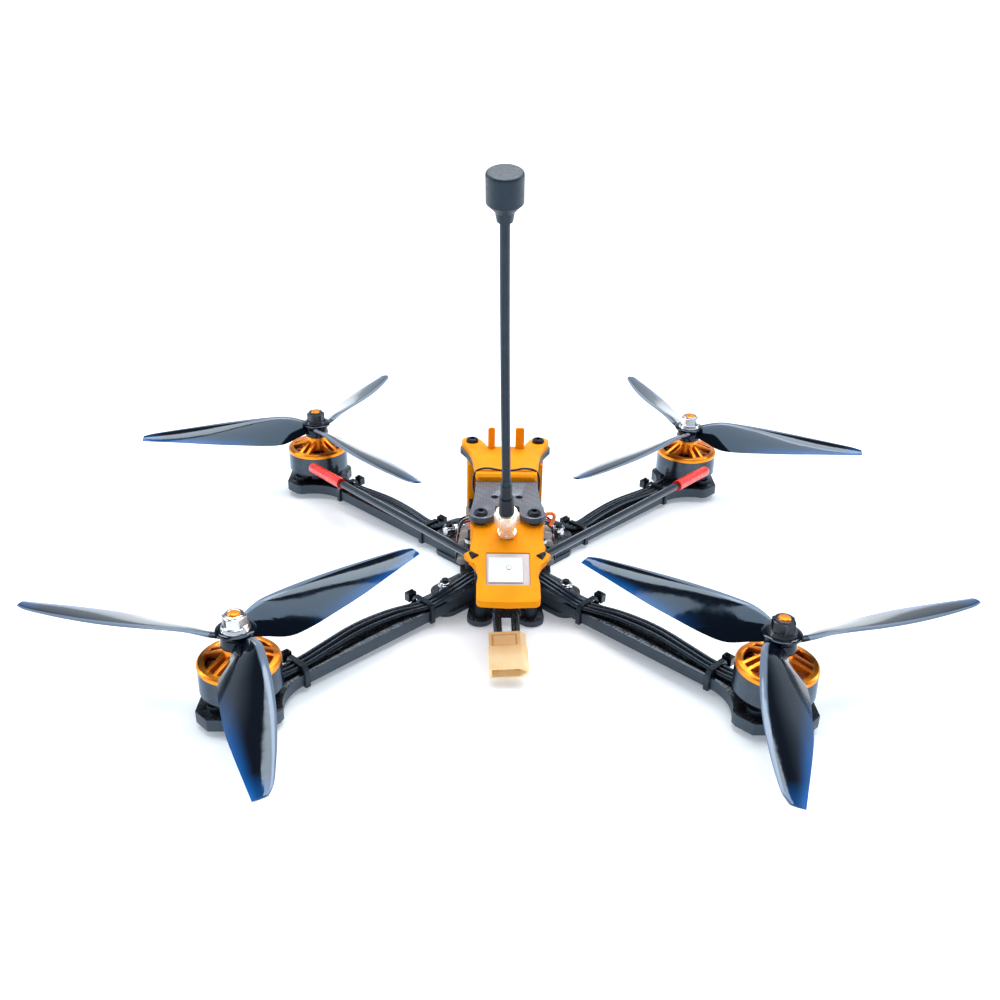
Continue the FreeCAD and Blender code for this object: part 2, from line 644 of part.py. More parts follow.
def camera_lens():
    """Lens barrel, front ring and glass dome."""
    y, z = CAMERA_Y + 2.6, CAMERA_Z
    forward = V(0, 1, 0)
    barrel = cyl(6.3, 8.0, 0, y, z, forward).fuse(cyl(7.2, 4.0, 0, y + 7.0, z, forward))
    glass = Part.makeSphere(9.0, V(0, y + 4.6, z)).common(cyl(5.8, 20, 0, y + 6, z, forward))
    return barrel.fuse(glass).removeSplitter()


def hood_top(y):
    """Height of the hood's top face above the frame's origin at this y."""
    return HOOD_REAR_Z + (y - HOOD_REAR_Y) * math.tan(math.radians(HOOD_SLOPE))


def hood_slab(half_outline, thickness, drop=0.0):
    """Outline seen from above, made into a slab that follows the hood's slope."""
    slab = prism(half_outline, 0, 80)
    slab = slab.fuse(mirrored(slab)).removeSplitter()
    front, rear = 0.0, HOOD_REAR_Y - 5
    top_f, top_r = hood_top(front) - drop, hood_top(rear) - drop
    keep = [V(-40, front, top_f), V(-40, rear, top_r),
            V(-40, rear, top_r - thickness), V(-40, front, top_f - thickness)]
    band = Part.Face(Part.makePolygon(keep + keep[:1])).extrude(V(80, 0, 0))
    return slab.common(band)


def tube_axis(side):
    return (TUBE_TIP[side] - TUBE_ROOT[side]).normalize()


def rear_mount():
    """Printed hood: sloping top, receiver tray, antenna sockets and clips round the rear standoffs."""
    x, y = REAR_POST
    outline = [(0, -24.5), (12.6, -24.5), (14.2, -26.5), (14.2, -44.5), (15.2, -49.0), (14.4, -51.4),
               (15.6, -54.6), ((12.8, -58.4), (11.8, -63.4)), (12.4, -67.6), (12.4, -73.4),
               ((11.8, -75.4), (9.8, -76.1)), (0, HOOD_REAR_Y)]
    hood = hood_slab(outline, HOOD_T)
    tray = block(GPS_SIDE + 4.4, 19.0, 60, 0, GPS_MID_Y, 0)
    tray = tray.common(hood_slab([(0, -20), (30, -20), (30, HOOD_REAR_Y), (0, HOOD_REAR_Y)], 6.6))
    cheek = hood_slab([(11.6, -26.6), (14.2, -26.6), (14.2, -44.5), (11.6, -50.0)], 9.0)
    under = hood_slab([(0, -10), (40, -10), (40, -90), (0, -90)], 60.0)
    clips = [cyl(4.3, 14.0, s * x, y, PLATE_GAP - 15.0) for s in (-1, 1)]
    sockets = [cyl(3.0, 5.6, *(TUBE_ROOT[side] - tube_axis(side) * 3.0), tube_axis(side))
               for side in ("left", "right")]
    hood = hood.fuse([part.common(under) for part in [tray, cheek] + clips + sockets])
    hood = hood.removeSplitter().common(block(60, 90, PLATE_GAP - 0.1, 0, -45, 0))
    cuts = [gps_block(GPS_SIDE + 0.2, 4.2, 0.4)]
    cuts += [cyl(POST_R + 0.1, 60, s * x, y, 0) for s in (-1, 1)]
    cuts.append(connector_bore())
    for side in ("left", "right"):
        cuts.append(cyl(TUBE_R + 0.05, 30, *(TUBE_ROOT[side] - tube_axis(side) * 1.4), tube_axis(side)))
    return hood.cut(cuts)


def gps_block(side, depth, up):
    """Square block let into the hood, its face `up` above the sloping top."""
    top = hood_top(GPS_MID_Y)
    body = block(side, side, depth + up, 0, 0, -depth)
    body.rotate(V(), V(1, 0, 0), HOOD_SLOPE)
    body.translate(V(0, GPS_MID_Y, top))
    return body


def gps_module():
    """Satellite receiver: case, ceramic patch and its feed pin."""
    case = block(GPS_SIDE, GPS_SIDE, 3.6, 0, 0, -4.0)
    patch = block(13.4, 13.4, 0.5, -0.8, -0.8, -0.4)
    pin = cyl(0.8, 0.5, 0.6, 0.6, 0.1)
    body = case.fuse([patch, pin]).removeSplitter()
    body.rotate(V(), V(1, 0, 0), HOOD_SLOPE)
    body.translate(V(0, GPS_MID_Y, hood_top(GPS_MID_Y)))
    return body


def sway(height):
    """Sideways offset of the antenna's centreline."""
    return ANTENNA_SWAY * height + 0.00006 * max(height - SWAY_FROM, 0.0) ** 2


def on_antenna(height):
    lean = math.radians(ANTENNA_LEAN)
    return ANTENNA_BASE + V(sway(height), -math.sin(lean) * height, math.cos(lean) * height)


def antenna_axis(height=0.0):
    return (on_antenna(height + 0.5) - on_antenna(height - 0.5)).normalize()


def connector_bore():
    return cyl(3.3, 30, *on_antenna(-12.0), antenna_axis())


def lean_with_antenna(shape):
    out = shape.copy()
    out.rotate(V(), V(1, 0, 0), ANTENNA_LEAN)
    out.rotate(V(), V(0, 1, 0), math.degrees(math.atan(ANTENNA_SWAY)))
    out.translate(ANTENNA_BASE)
    return out


def sma_connector():
    """Coaxial bulkhead socket with two solder feet, and the antenna's hexagonal coupling nut."""
    nut = hexagon(8.8, 6.4, 5.6).common(Part.makeCone(6.6, 4.3, 6.4, V(0, 0, 5.6)).fuse(cyl(5.3, 5.4, z=5.6)))
    neck = Part.makeCone(3.2, 4.3, 2.0, V(0, 0, 3.6))
    feet = [block(1.5, 1.6, 2.6, s * 2.1, -2.6, 0.3) for s in (-1, 1)]
    body = cyl(3.2, 12.0, z=-6.0).fuse([nut, neck, cyl(1.2, 3.0, z=-9.0), cyl(3.9, 0.8, z=0.2)] + feet)
    return lean_with_antenna(body.removeSplitter().cut(cyl(2.6, 2.0, z=11.0)))


def antenna_stalk():
    """Flexible stalk with a stepped boot, gently bowed to the side."""
    axis = antenna_axis(12.0)
    heights = (11.2, 20.0, 35.0, 50.0, 65.0, 80.0, 100.0, 120.0, CAP_BASE - 0.2)
    line = Part.BSplineCurve()
    line.interpolate([on_antenna(h) for h in heights])
    start, ahead = line.value(line.FirstParameter), line.tangent(line.FirstParameter)[0]
    circle = Part.Wire(Part.makeCircle(STALK_R, start, ahead))
    stalk = Part.Wire(line.toShape()).makePipe(Part.Face(circle))
    boot = cyl(2.5, 2.0, *on_antenna(11.1), axis)
    steps = [Part.makeCone(3.2, 2.8, 8.0, on_antenna(12.1), axis), cyl(2.35, 7.0, *on_antenna(20.0), axis),
             Part.makeCone(2.2, 1.8, 3.0, on_antenna(26.9), axis)]
    return stalk.fuse([boot] + steps).removeSplitter()


def antenna_cap():
    """Closed radome with a flat top and a shallow coned foot."""
    axis = antenna_axis(CAP_BASE)
    foot = Part.makeCone(3.4, DRUM_R, 3.2, on_antenna(CAP_BASE), axis)
    drum = cyl(DRUM_R, 9.9, *on_antenna(CAP_BASE + 3.1), axis)
    collar = Part.makeCone(2.7, 3.3, 3.6, on_antenna(CAP_BASE - 3.4), axis)
    collar = collar.cut(cyl(STALK_R + 0.03, 3.2, *on_antenna(CAP_BASE - 3.4), axis))
    top = [e for e in drum.Edges if e.BoundBox.ZMin > on_antenna(CAP_BASE + 9.0).z and len(e.Vertexes) == 1]
    drum = drum.makeFillet(0.9, top)
    return foot.fuse([drum, collar]).removeSplitter()


def receiver_tubes():
    out = []
    for side in ("left", "right"):
        length = (TUBE_TIP[side] - TUBE_ROOT[side]).Length - CAP_LEN + 2.0
        out.append(cyl(TUBE_R, length, *(TUBE_ROOT[side] - tube_axis(side) * 1.2), tube_axis(side)))
    return out


def tube_caps():
    """Soft red end caps with round noses."""
    out = []
    for side in ("left", "right"):
        axis = tube_axis(side)
        start = TUBE_TIP[side] - axis * CAP_LEN
        cap = cyl(CAP_R, CAP_LEN - CAP_R, *start, axis)
        cap = cap.fuse(Part.makeSphere(CAP_R, TUBE_TIP[side] - axis * CAP_R)).removeSplitter()
        end = start + axis * 1.0
        out.append(cap.cut(cyl(TUBE_R, 10, *(end - axis * 10.2), axis)))
    return out


# ---- battery leads and plug ----
def plug_turn():
    """Rotation of a plug drawn along -Y: rolled on its own axis, tipped down, then turned aside."""
    roll = FreeCAD.Rotation(V(0, 1, 0), PLUG_ROLL)
    tip = FreeCAD.Rotation(V(1, 0, 0), PLUG_TILT)
    aside = FreeCAD.Rotation(UP, PLUG_YAW)
    return aside.multiply(tip).multiply(roll)


def plug_place(shape):
    """Move a shape drawn along -Y, its back face on the origin, to the plug."""
    out = shape.copy()
    out.Placement = FreeCAD.Placement(PLUG_REAR, plug_turn()).multiply(out.Placement)
    return out


def xt60_housing():
    """Two-pin battery plug with an open mouth, its right side chamfered, and a sunk label panel."""
    width, length, height = PLUG_SIZE

    def d_block(inset, start, end):
        w, h = width / 2 - inset, height / 2 - inset
        cut = 2.4
        outline = [V(-w, 0, -h), V(w - cut, 0, -h), V(w, 0, cut - h), V(w, 0, h - cut),
                   V(w - cut, 0, h), V(-w, 0, h)]
        face = Part.Face(Part.makePolygon(outline + outline[:1]))
        face.translate(V(0, -start, 0))
        return face.extrude(V(0, start - end, 0))

    body = d_block(0.35, 0, 6.4).fuse(d_block(0.0, 6.4, length)).removeSplitter()
    body = body.cut(d_block(1.1, 7.6, length + 1))
    for s in (-1, 1):
        body = body.cut(cyl(2.3, 2.6, s * LEAD_X, 0, 0, V(0, -1, 0)))
        body = body.cut(cyl(1.75, 12, s * LEAD_X, 0, 0, V(0, -1, 0)))
    body = body.cut(block(9.4, 4.6, 1.0, -1.2, -3.6, height / 2 - 0.6))
    return plug_place(body)


def xt60_contacts():
    """Gold bullet pins, slotted at the mating end, with solder cups at the back."""
    out = []
    for s in (-1, 1):
        pin = cyl(1.74, 14.4, s * LEAD_X, 0, 0, V(0, -1, 0))
        pin = pin.fuse(cyl(2.25, 2.5, s * LEAD_X, 0, 0, V(0, -1, 0))).removeSplitter()
        slot = Part.makeBox(0.5, 5.0, 5.0, V(s * LEAD_X - 0.25, -15.0, -2.5))
        out.append(plug_place(pin.cut(slot)))
    return out


def power_lead(side):
    """Lead from the speed controller's rear pads to the plug's back face."""
    turn = plug_turn()
    end = PLUG_REAR + turn.multVec(V(side * LEAD_X, 0, 0))
    near = PLUG_REAR + turn.multVec(V(side * LEAD_X, 10.5, 0))
    x = side * LEAD_X
    points = [V(x, -LUG_Y, 17.4), V(x * 1.05, -25.0, 16.9), V(x * 1.25, -36.0, 17.6 + 0.5 * side),
              V(x * 1.1, -47.0, 18.2), near, end]
    return tube(points, LEAD_R, "power lead %s" % ("right" if side > 0 else "left"))


def main():
    os.makedirs("parts", exist_ok=True)
    save("bottom_plate", bottom_plate())
    save("mid_plate", mid_plate())
    save("top_plate", top_plate())
    save("standoffs", *standoffs())
    save("frame_screws", *frame_screws())
    save("lock_nuts", *[lock_nut(x, y, MID_TOP) for x, y in four(ARM_BOLT, ARM_BOLT)])
    posts = [(s * REAR_POST[0], REAR_POST[1], TOP_TOP) for s in (-1, 1)]
    posts += [(s * FRONT_POST[0], FRONT_POST[1], TOP_TOP + FRONT_T) for s in (-1, 1)]
    save("plate_screws", *[button_head(x, y, z, 8.0 + z - TOP_TOP) for x, y, z in posts])
    save("stack_spacers", *stack_spacers())
    save("esc_board", esc_board())
    save("flight_controller", flight_controller())
    save("video_transmitter", video_transmitter())
    save("front_mount", front_mount())
    save("camera_cage", camera_cage())
    save("camera_body", camera_body())
    save("camera_lens", camera_lens())
    save("rear_mount", rear_mount())
    save("gps_module", gps_module())
    save("sma_connector", sma_connector())
    save("antenna_stalk", antenna_stalk())
    save("antenna_cap", antenna_cap())
    save("receiver_tubes", *receiver_tubes())
    save("tube_caps", *tube_caps())
    save("xt60_housing", xt60_housing())
    save("xt60_contacts", *xt60_contacts())
    save("power_lead_left", power_lead(-1))
    save("power_lead_right", power_lead(1))
    save("motor_leads", *motor_leads())
    save("zip_ties", *zip_ties())
    one_arm, one_base, one_stator = arm(), motor_base(), stator()
    one_ring, one_cap, one_shaft = flux_ring(), bell_cap(), motor_shaft()
    one_prop, one_nut = propeller(), prop_nut()
    for name, sx, sy, sense, azimuth in CORNERS:
        x, y = sx * MOTOR_XY, sy * MOTOR_XY
        save("arm_" + name, placed(one_arm, turn=math.degrees(math.atan2(sy, sx))))
        bearing = math.degrees(math.atan2(sy, sx))
        save("motor_base_" + name, placed(one_base, x, y, turn=bearing - 45))
        save("stator_" + name, placed(one_stator, x, y))
        save("flux_ring_" + name, *[placed(s, x, y, 0, azimuth) for s in one_ring])
        save("bell_cap_" + name, placed(one_cap, x, y, 0, azimuth))
        save("motor_shaft_" + name, placed(one_shaft, x, y))
        prop = one_prop if sense > 0 else one_prop.mirror(V(), V(0, 1, 0))
        save("propeller_" + name, placed(prop, x, y, BLADE_Z, azimuth))
        save("prop_nut_" + name, placed(one_nut, x, y, 0, azimuth + 11))


main()
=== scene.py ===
"""Looks of the seven-inch FPV racing quadcopter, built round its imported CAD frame."""
import math
import random

import bmesh
import bpy
from mathutils import Matrix, Vector


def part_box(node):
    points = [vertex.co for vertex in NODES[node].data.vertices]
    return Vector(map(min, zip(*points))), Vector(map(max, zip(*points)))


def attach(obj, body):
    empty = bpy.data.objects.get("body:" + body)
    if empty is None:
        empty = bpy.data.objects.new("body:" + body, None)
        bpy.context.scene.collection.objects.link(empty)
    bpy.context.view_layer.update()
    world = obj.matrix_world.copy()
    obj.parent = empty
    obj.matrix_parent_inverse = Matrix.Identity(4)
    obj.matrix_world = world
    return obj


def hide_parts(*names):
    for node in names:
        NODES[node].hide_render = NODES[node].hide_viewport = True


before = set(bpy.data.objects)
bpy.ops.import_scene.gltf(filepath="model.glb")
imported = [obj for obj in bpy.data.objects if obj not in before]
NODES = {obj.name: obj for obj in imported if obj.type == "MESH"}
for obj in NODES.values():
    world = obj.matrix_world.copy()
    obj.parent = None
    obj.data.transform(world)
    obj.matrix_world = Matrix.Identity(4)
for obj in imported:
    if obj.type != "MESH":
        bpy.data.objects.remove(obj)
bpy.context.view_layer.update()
MM = 0.001
CORNERS = {"rear_left": (-1, -1), "rear_right": (1, -1), "front_left": (-1, 1), "front_right": (1, 1)}
MOTOR_XY = 99.0
BLADE_Z = 33.9
PROP_R = 88.9
# turning sense (1 = anticlockwise from above) and first blade's azimuth, as in the CAD
TURN = {"rear_left": (1, 52.0), "rear_right": (-1, 13.5), "front_left": (-1, 65.5), "front_right": (1, 108.5)}


# ---- node graphs ----
class Graph:
    """Small helper that adds shader nodes and links or sets their inputs."""

    def __init__(self, material):
        self.tree = material.node_tree
        self.bsdf = self.tree.nodes["Principled BSDF"]

    def add(self, kind, feeds=None, **settings):
        node = self.tree.nodes.new("ShaderNode" + kind)
        for key, value in settings.items():
            setattr(node, key, value)
        for socket, value in (feeds or {}).items():
            self.feed(node.inputs[socket], value)
        return node

    def feed(self, socket, value):
        if isinstance(value, bpy.types.NodeSocket):
            self.tree.links.new(value, socket)
        else:
            socket.default_value = value

    def math(self, operation, a, b=0.0, clamp=False):
        node = self.add("Math", {0: a, 1: b}, operation=operation, use_clamp=clamp)
        return node.outputs[0]

    def wave(self, value, pitch):
        """Sine that repeats every pitch millimetres."""
        return self.math("SINE", self.math("MULTIPLY", value, 2 * math.pi / pitch))

    def opposite(self, value):
        return self.math("SUBTRACT", 1.0, value)

    def position(self, turn=0.0):
        """Object position in millimetres, turned about Z."""
        coord = self.add("TexCoord").outputs["Object"]
        scale = (1 / MM, 1 / MM, 1 / MM)
        spin = (0, 0, math.radians(turn))
        mapping = self.add("Mapping", {"Vector": coord, "Scale": scale, "Rotation": spin})
        return mapping.outputs[0]

    def split(self, vector):
        node = self.add("SeparateXYZ", {0: vector})
        return node.outputs[0], node.outputs[1], node.outputs[2]

    def noise(self, vector, scale, detail=3.0, rough=0.55):
        node = self.add("TexNoise", {"Vector": vector, "Scale": scale, "Detail": detail, "Roughness": rough})
        return node.outputs["Fac"]

    def ramp(self, value, low, high, out_low=0.0, out_high=1.0):
        node = self.add("MapRange", {"Value": value, "From Min": low, "From Max": high,
                                     "To Min": out_low, "To Max": out_high})
        return node.outputs[0]

    def mix(self, factor, a, b):
        node = self.add("Mix", data_type="RGBA")
        self.feed(node.inputs[0], factor)
        self.feed(node.inputs[6], a)
        self.feed(node.inputs[7], b)
        return node.outputs[2]

    def bump(self, height, distance, strength=1.0, before=None):
        feeds = {"Height": height, "Distance": distance * MM, "Strength": strength}
        if before is not None:
            feeds["Normal"] = before
        return self.add("Bump", feeds).outputs[0]

    def shade(self, **sockets):
        for name, value in sockets.items():
            self.feed(self.bsdf.inputs[name.replace("_", " ")], value)


def rgb(red, green, blue):
    return (red, green, blue, 1.0)


def new_material(name):
    material = bpy.data.materials.new(name)
    material.use_nodes = True
    return material, Graph(material)


# reflections on black parts are bluish; the others keep the light's own colour
COOL = rgb(0.6, 0.79, 1.0)
NEUTRAL = rgb(1.0, 1.0, 1.0)
BLACK_BELOW = 0.1
PLY = 0.42                 # thickness of a carbon ply
RASTER = 0.62              # spacing of a print's top lines
TURNED = 0.3               # spacing of turning rings
WIRE = 0.62                # winding wire's diameter


def tint_for(base):
    return COOL if max(base) < BLACK_BELOW else NEUTRAL


def worn(name, base, dark, roughness, metallic=0.0, grain=1.6, relief=0.02, coat=0.0, spread=0.1):
    """Plain finish with faint colour variation, uneven gloss and a fine grain."""
    material, g = new_material(name)
    place = g.position()
    cloud = g.noise(place, 0.16, 4.0)
    fine = g.noise(place, grain, 3.0)
    g.shade(Base_Color=g.mix(g.ramp(cloud, 0.35, 0.65), rgb(*base), rgb(*dark)), Metallic=metallic,
            Roughness=g.ramp(fine, 0.3, 0.7, roughness - spread / 2, roughness + spread),
            Normal=g.bump(fine, relief), Coat_Weight=coat, Coat_Roughness=0.08,
            Specular_Tint=tint_for(base))
    return material


def carbon(name, turn=0.0, cell=2.1, sheen=0.11, deep=0.007, rough=0.3):
    """Two-by-two twill under a thin resin skin, with layered machined edges; the tows' lighter crowns are a
    painted sheen.
    """
    material, g = new_material(name)
    place = g.position(turn)
    x, y, z = g.split(place)
    u, v = g.math("DIVIDE", x, cell), g.math("DIVIDE", y, cell)
    step = g.math("FLOORED_MODULO", g.math("ADD", g.math("FLOOR", u), g.math("FLOOR", v)), 4.0)
    warp = g.math("LESS_THAN", step, 1.5)
    across = g.math("ADD", g.math("MULTIPLY", warp, g.math("FRACT", u)),
                    g.math("MULTIPLY", g.opposite(warp), g.math("FRACT", v)))
    crown = g.math("SINE", g.math("MULTIPLY", across, math.pi))
    fibre_x = g.noise(g.add("Mapping", {"Vector": place, "Scale": (9.0, 0.35, 1.0)}).outputs[0], 1.0, 2.0)
    fibre_y = g.noise(g.add("Mapping", {"Vector": place, "Scale": (0.35, 9.0, 1.0)}).outputs[0], 1.0, 2.0)
    fibre = g.math("ADD", g.math("MULTIPLY", warp, fibre_x),
                   g.math("MULTIPLY", g.opposite(warp), fibre_y))
    # painted sheen: warp tows and each tow's crown are lighter in colour, where the fibres would catch the
    # light
    tow = g.math("ADD", g.math("MULTIPLY", warp, 0.55), g.math("MULTIPLY", fibre, 0.6))
    weave_and_sheen = g.mix(g.math("MULTIPLY", tow, crown, clamp=True), rgb(deep, deep, deep * 1.15),
                  rgb(sheen, sheen * 0.97, sheen * 1.12))
    normal_z = g.split(g.add("NewGeometry").outputs["Normal"])[2]
    side = g.math("LESS_THAN", g.math("ABSOLUTE", normal_z), 0.6)
    plies = g.wave(z, PLY)
    grit = g.noise(place, 3.0, 4.0)
    cut = g.mix(g.ramp(g.math("ADD", plies, grit), -0.4, 1.8), rgb(0.02, 0.028, 0.038),
                rgb(0.062, 0.082, 0.105))
    height = g.math("ADD", g.math("MULTIPLY", crown, g.opposite(side)),
                    g.math("MULTIPLY", g.math("ADD", plies, grit), g.math("MULTIPLY", side, 0.35)))
    gloss = g.ramp(grit, 0.2, 0.8, rough - 0.05, rough + 0.08)
    g.shade(Base_Color=g.mix(side, weave_and_sheen, cut), Normal=g.bump(height, 0.035),
            Roughness=g.math("ADD", gloss, g.math("MULTIPLY", side, 0.26)),
            Specular_IOR_Level=0.5, Specular_Tint=COOL, Coat_Weight=0.1, Coat_Roughness=0.12)
    return material


def printed(name, base, dark, pitch=0.45):
    """Flexible 3-D print: stacked layer lines on the sides, raster lines on the top."""
    material, g = new_material(name)
    place = g.position()
    x, y, z = g.split(place)
    wobble = g.noise(place, 0.5, 2.0)
    layer = g.wave(g.math("ADD", z, g.math("MULTIPLY", wobble, 0.25)), pitch)
    raster = g.wave(g.math("ADD", g.math("ADD", x, y), wobble), RASTER)
    normal_z = g.math("ABSOLUTE", g.split(g.add("NewGeometry").outputs["Normal"])[2])
    top = g.ramp(normal_z, 0.75, 0.95)
    blobs = g.noise(place, 1.3, 4.0)
    lines = g.math("ADD", g.math("MULTIPLY", layer, g.opposite(top)),
                   g.math("MULTIPLY", raster, g.math("MULTIPLY", top, 0.35)))
    height = g.math("ADD", lines, g.math("MULTIPLY", blobs, 0.9))
    shade = g.ramp(g.math("ADD", g.math("MULTIPLY", lines, 0.25), g.noise(place, 0.09, 4.0)), 0.2, 0.9)
    g.shade(Base_Color=g.mix(shade, rgb(*dark), rgb(*base)), Roughness=g.ramp(blobs, 0.3, 0.7, 0.42, 0.6),
            Normal=g.bump(height, 0.06), Subsurface_Weight=0.12, Subsurface_Radius=(1.0, 0.45, 0.02),
            Subsurface_Scale=0.0015, Specular_IOR_Level=0.22, Specular_Tint=rgb(1.0, 0.75, 0.4))
    return material


def anodised(name, base, dark, centres):
    """Turned and dyed aluminium: fine turning rings round each motor's axis."""
    material, g = new_material(name)
    place = g.position()
    cx, cy = centres
    local = g.add("VectorMath", {0: place, 1: (cx, cy, 0.0)}, operation="SUBTRACT").outputs[0]
    x, y, z = g.split(local)
    radius = g.math("SQRT", g.math("ADD", g.math("MULTIPLY", x, x), g.math("MULTIPLY", y, y)))
    rings = g.wave(radius, TURNED)
    bands = g.noise(g.add("CombineXYZ", {0: radius, 1: z}).outputs[0], 2.2, 3.0)
    fine = g.noise(place, 2.0, 3.0)
    g.shade(Base_Color=g.mix(g.ramp(bands, 0.3, 0.7), rgb(*base), rgb(*dark)), Metallic=0.85,
            Roughness=g.ramp(fine, 0.3, 0.7, 0.26, 0.38), Normal=g.bump(g.math("ADD", rings, fine), 0.003))
    return material


def copper_coils(name):
    """Enamelled wire wound round the teeth, strand by strand, with painted shade in the grooves between
    strands.
    """
    material, g = new_material(name)
    place = g.position()
    z = g.split(place)[2]
    strand = g.wave(z, WIRE)
    cloud = g.noise(place, 0.5, 3.0)
    # painted shade and highlight: each strand is bright copper on its crown and dark brown in the groove
    # between strands; the cloud varies the tone at random
    colour = g.mix(g.ramp(g.math("ADD", strand, cloud), -0.6, 1.6), rgb(0.2, 0.05, 0.018),
                   rgb(0.85, 0.36, 0.16))
    g.shade(Base_Color=colour, Metallic=0.7, Roughness=g.ramp(cloud, 0.3, 0.7, 0.25, 0.4),
            Normal=g.bump(strand, 0.12), Coat_Weight=0.5, Coat_Roughness=0.15)
    return material


def blade_plastic(name):
    """Near-black polycarbonate, blue where it thins to the trailing edge and tip.

    A paler band along the leading edge is a painted highlight, drawn in colour where such a blade catches the
    light.
    """
    material, g = new_material(name)
    attribute = g.add("Attribute", attribute_name="blade").outputs["Vector"]
    chord, span, _ = g.split(attribute)
    place = g.position()
    cloud = g.noise(place, 0.07, 2.0)
    along = g.math("MULTIPLY", g.ramp(span, 0.3, 0.7), g.ramp(cloud, 0.25, 0.7, 0.75, 1.1))
    trailing = g.math("MULTIPLY", g.math("POWER", g.ramp(chord, 0.62, 1.0), 1.7), along, clamp=True)
    tip = g.ramp(g.math("ADD", span, g.math("MULTIPLY", chord, 0.06)), 0.9, 1.03)
    thin = g.math("ADD", trailing, g.math("MULTIPLY", tip, 0.5), clamp=True)
    deep = g.mix(thin, rgb(0.0012, 0.0024, 0.006), rgb(0.006, 0.12, 0.42))
    # painted highlight: a paler steel-blue band along the leading edge
    edge = g.opposite(g.ramp(g.math("ADD", chord, g.math("MULTIPLY", cloud, 0.03)), 0.115, 0.15))
    edge = g.math("MULTIPLY", edge, g.math("GREATER_THAN", span, 0.09))
    colour = g.mix(g.math("MULTIPLY", edge, 0.8), deep, rgb(0.17, 0.22, 0.3))
    g.shade(Base_Color=colour, Roughness=g.ramp(g.noise(place, 0.4, 3.0), 0.3, 0.7, 0.05, 0.09),
            Transmission_Weight=g.math("MULTIPLY", thin, 0.4), IOR=1.5,
            Specular_Tint=rgb(0.5, 0.74, 1.0), Specular_IOR_Level=0.38,
            Normal=g.bump(g.noise(place, 0.12, 2.0), 0.03), Coat_Weight=0.1, Coat_Roughness=0.03)
    return material


def rubber_lead(name, base=(0.006, 0.009, 0.014), rough=0.2):
    """Rubber, silicone or vinyl with a little dust."""
    material, g = new_material(name)
    place = g.position()
    dust = g.noise(place, 0.9, 4.0)
    g.shade(Base_Color=g.mix(g.ramp(dust, 0.35, 0.75), rgb(*base), rgb(*[c * 1.9 for c in base])),
            Roughness=g.ramp(dust, 0.3, 0.7, rough - 0.04, rough + 0.06), Normal=g.bump(dust, 0.004),
            Specular_Tint=tint_for(base))
    return material


def circuit(name):
    """Black solder mask with traces and bare metal pads."""
    material, g = new_material(name)
    place = g.position()
    cells = g.add("TexVoronoi", {"Vector": place, "Scale": 0.55}, feature="DISTANCE_TO_EDGE",
                  distance="MANHATTAN").outputs["Distance"]
    trace = g.math("LESS_THAN", cells, 0.035)
    pads = g.add("TexVoronoi", {"Vector": place, "Scale": 0.8}, feature="F1").outputs["Distance"]
    pad = g.math("LESS_THAN", pads, 0.1)
    mask = g.mix(trace, rgb(0.008, 0.009, 0.01), rgb(0.03, 0.034, 0.036))
    g.shade(Base_Color=g.mix(pad, mask, rgb(0.75, 0.7, 0.55)), Metallic=pad,
            Roughness=g.ramp(g.noise(place, 1.2), 0.3, 0.7, 0.3, 0.42),
            Normal=g.bump(g.math("ADD", trace, pad), 0.03))
    return material


def ceramic_patch(name):
    """White ceramic with a faint cloud and a fine grain."""
    material, g = new_material(name)
    place = g.position()
    grain = g.noise(place, 2.5, 4.0)
    cloud = g.noise(place, 0.2, 3.0)
    g.shade(Base_Color=g.mix(g.ramp(cloud, 0.3, 0.7), rgb(0.8, 0.795, 0.79), rgb(0.72, 0.715, 0.71)),
            Roughness=g.ramp(grain, 0.3, 0.7, 0.3, 0.45), Normal=g.bump(grain, 0.015))
    return material


def plug_nylon(name):
    """Cream moulded nylon; the sunk panel's outline and the mouth are painted shade, darkened in colour."""
    material, g = new_material(name)
    place = g.position()
    back = PLUG_TURN.inverted()
    shift = -(back @ PLUG_REAR)
    local = g.add("Mapping", {"Vector": place, "Location": tuple(shift), "Rotation": tuple(back.to_euler())})
    x, y, z = g.split(local.outputs[0])
    # painted shade: a darker line along the sunk panel's outline, where its groove falls in shade
    across = g.math("DIVIDE", g.math("ABSOLUTE", g.math("ADD", x, 1.2)), 4.7)
    along = g.math("DIVIDE", g.math("ABSOLUTE", g.math("ADD", y, 3.6)), 2.3)
    rim = g.math("ABSOLUTE", g.math("SUBTRACT", g.math("MAXIMUM", across, along), 1.0))
    painted_groove_shade = g.math("MULTIPLY", g.math("LESS_THAN", rim, 0.07), g.math("GREATER_THAN", z, 2.5))
    cloud = g.noise(place, 0.2, 4.0)
    fine = g.noise(place, 1.1, 3.0)
    # painted shade: the mouth at the plug's far end is a deeper orange, as if in shade
    deep = g.math("LESS_THAN", g.math("ADD", y, g.math("MULTIPLY", fine, 0.4)), -16.3)
    body = g.mix(g.ramp(cloud, 0.35, 0.65), rgb(1.0, 0.74, 0.41), rgb(0.99, 0.67, 0.31))
    body = g.mix(g.math("MULTIPLY", deep, 0.5), body, rgb(0.85, 0.4, 0.03))
    g.shade(Base_Color=g.mix(g.math("MULTIPLY", painted_groove_shade, 0.75), body, rgb(0.62, 0.3, 0.06)),
            Roughness=g.ramp(fine, 0.3, 0.7, 0.32, 0.45), Normal=g.bump(fine, 0.03),
            Coat_Weight=0.1, Coat_Roughness=0.1)
    return material


MATERIALS = {}


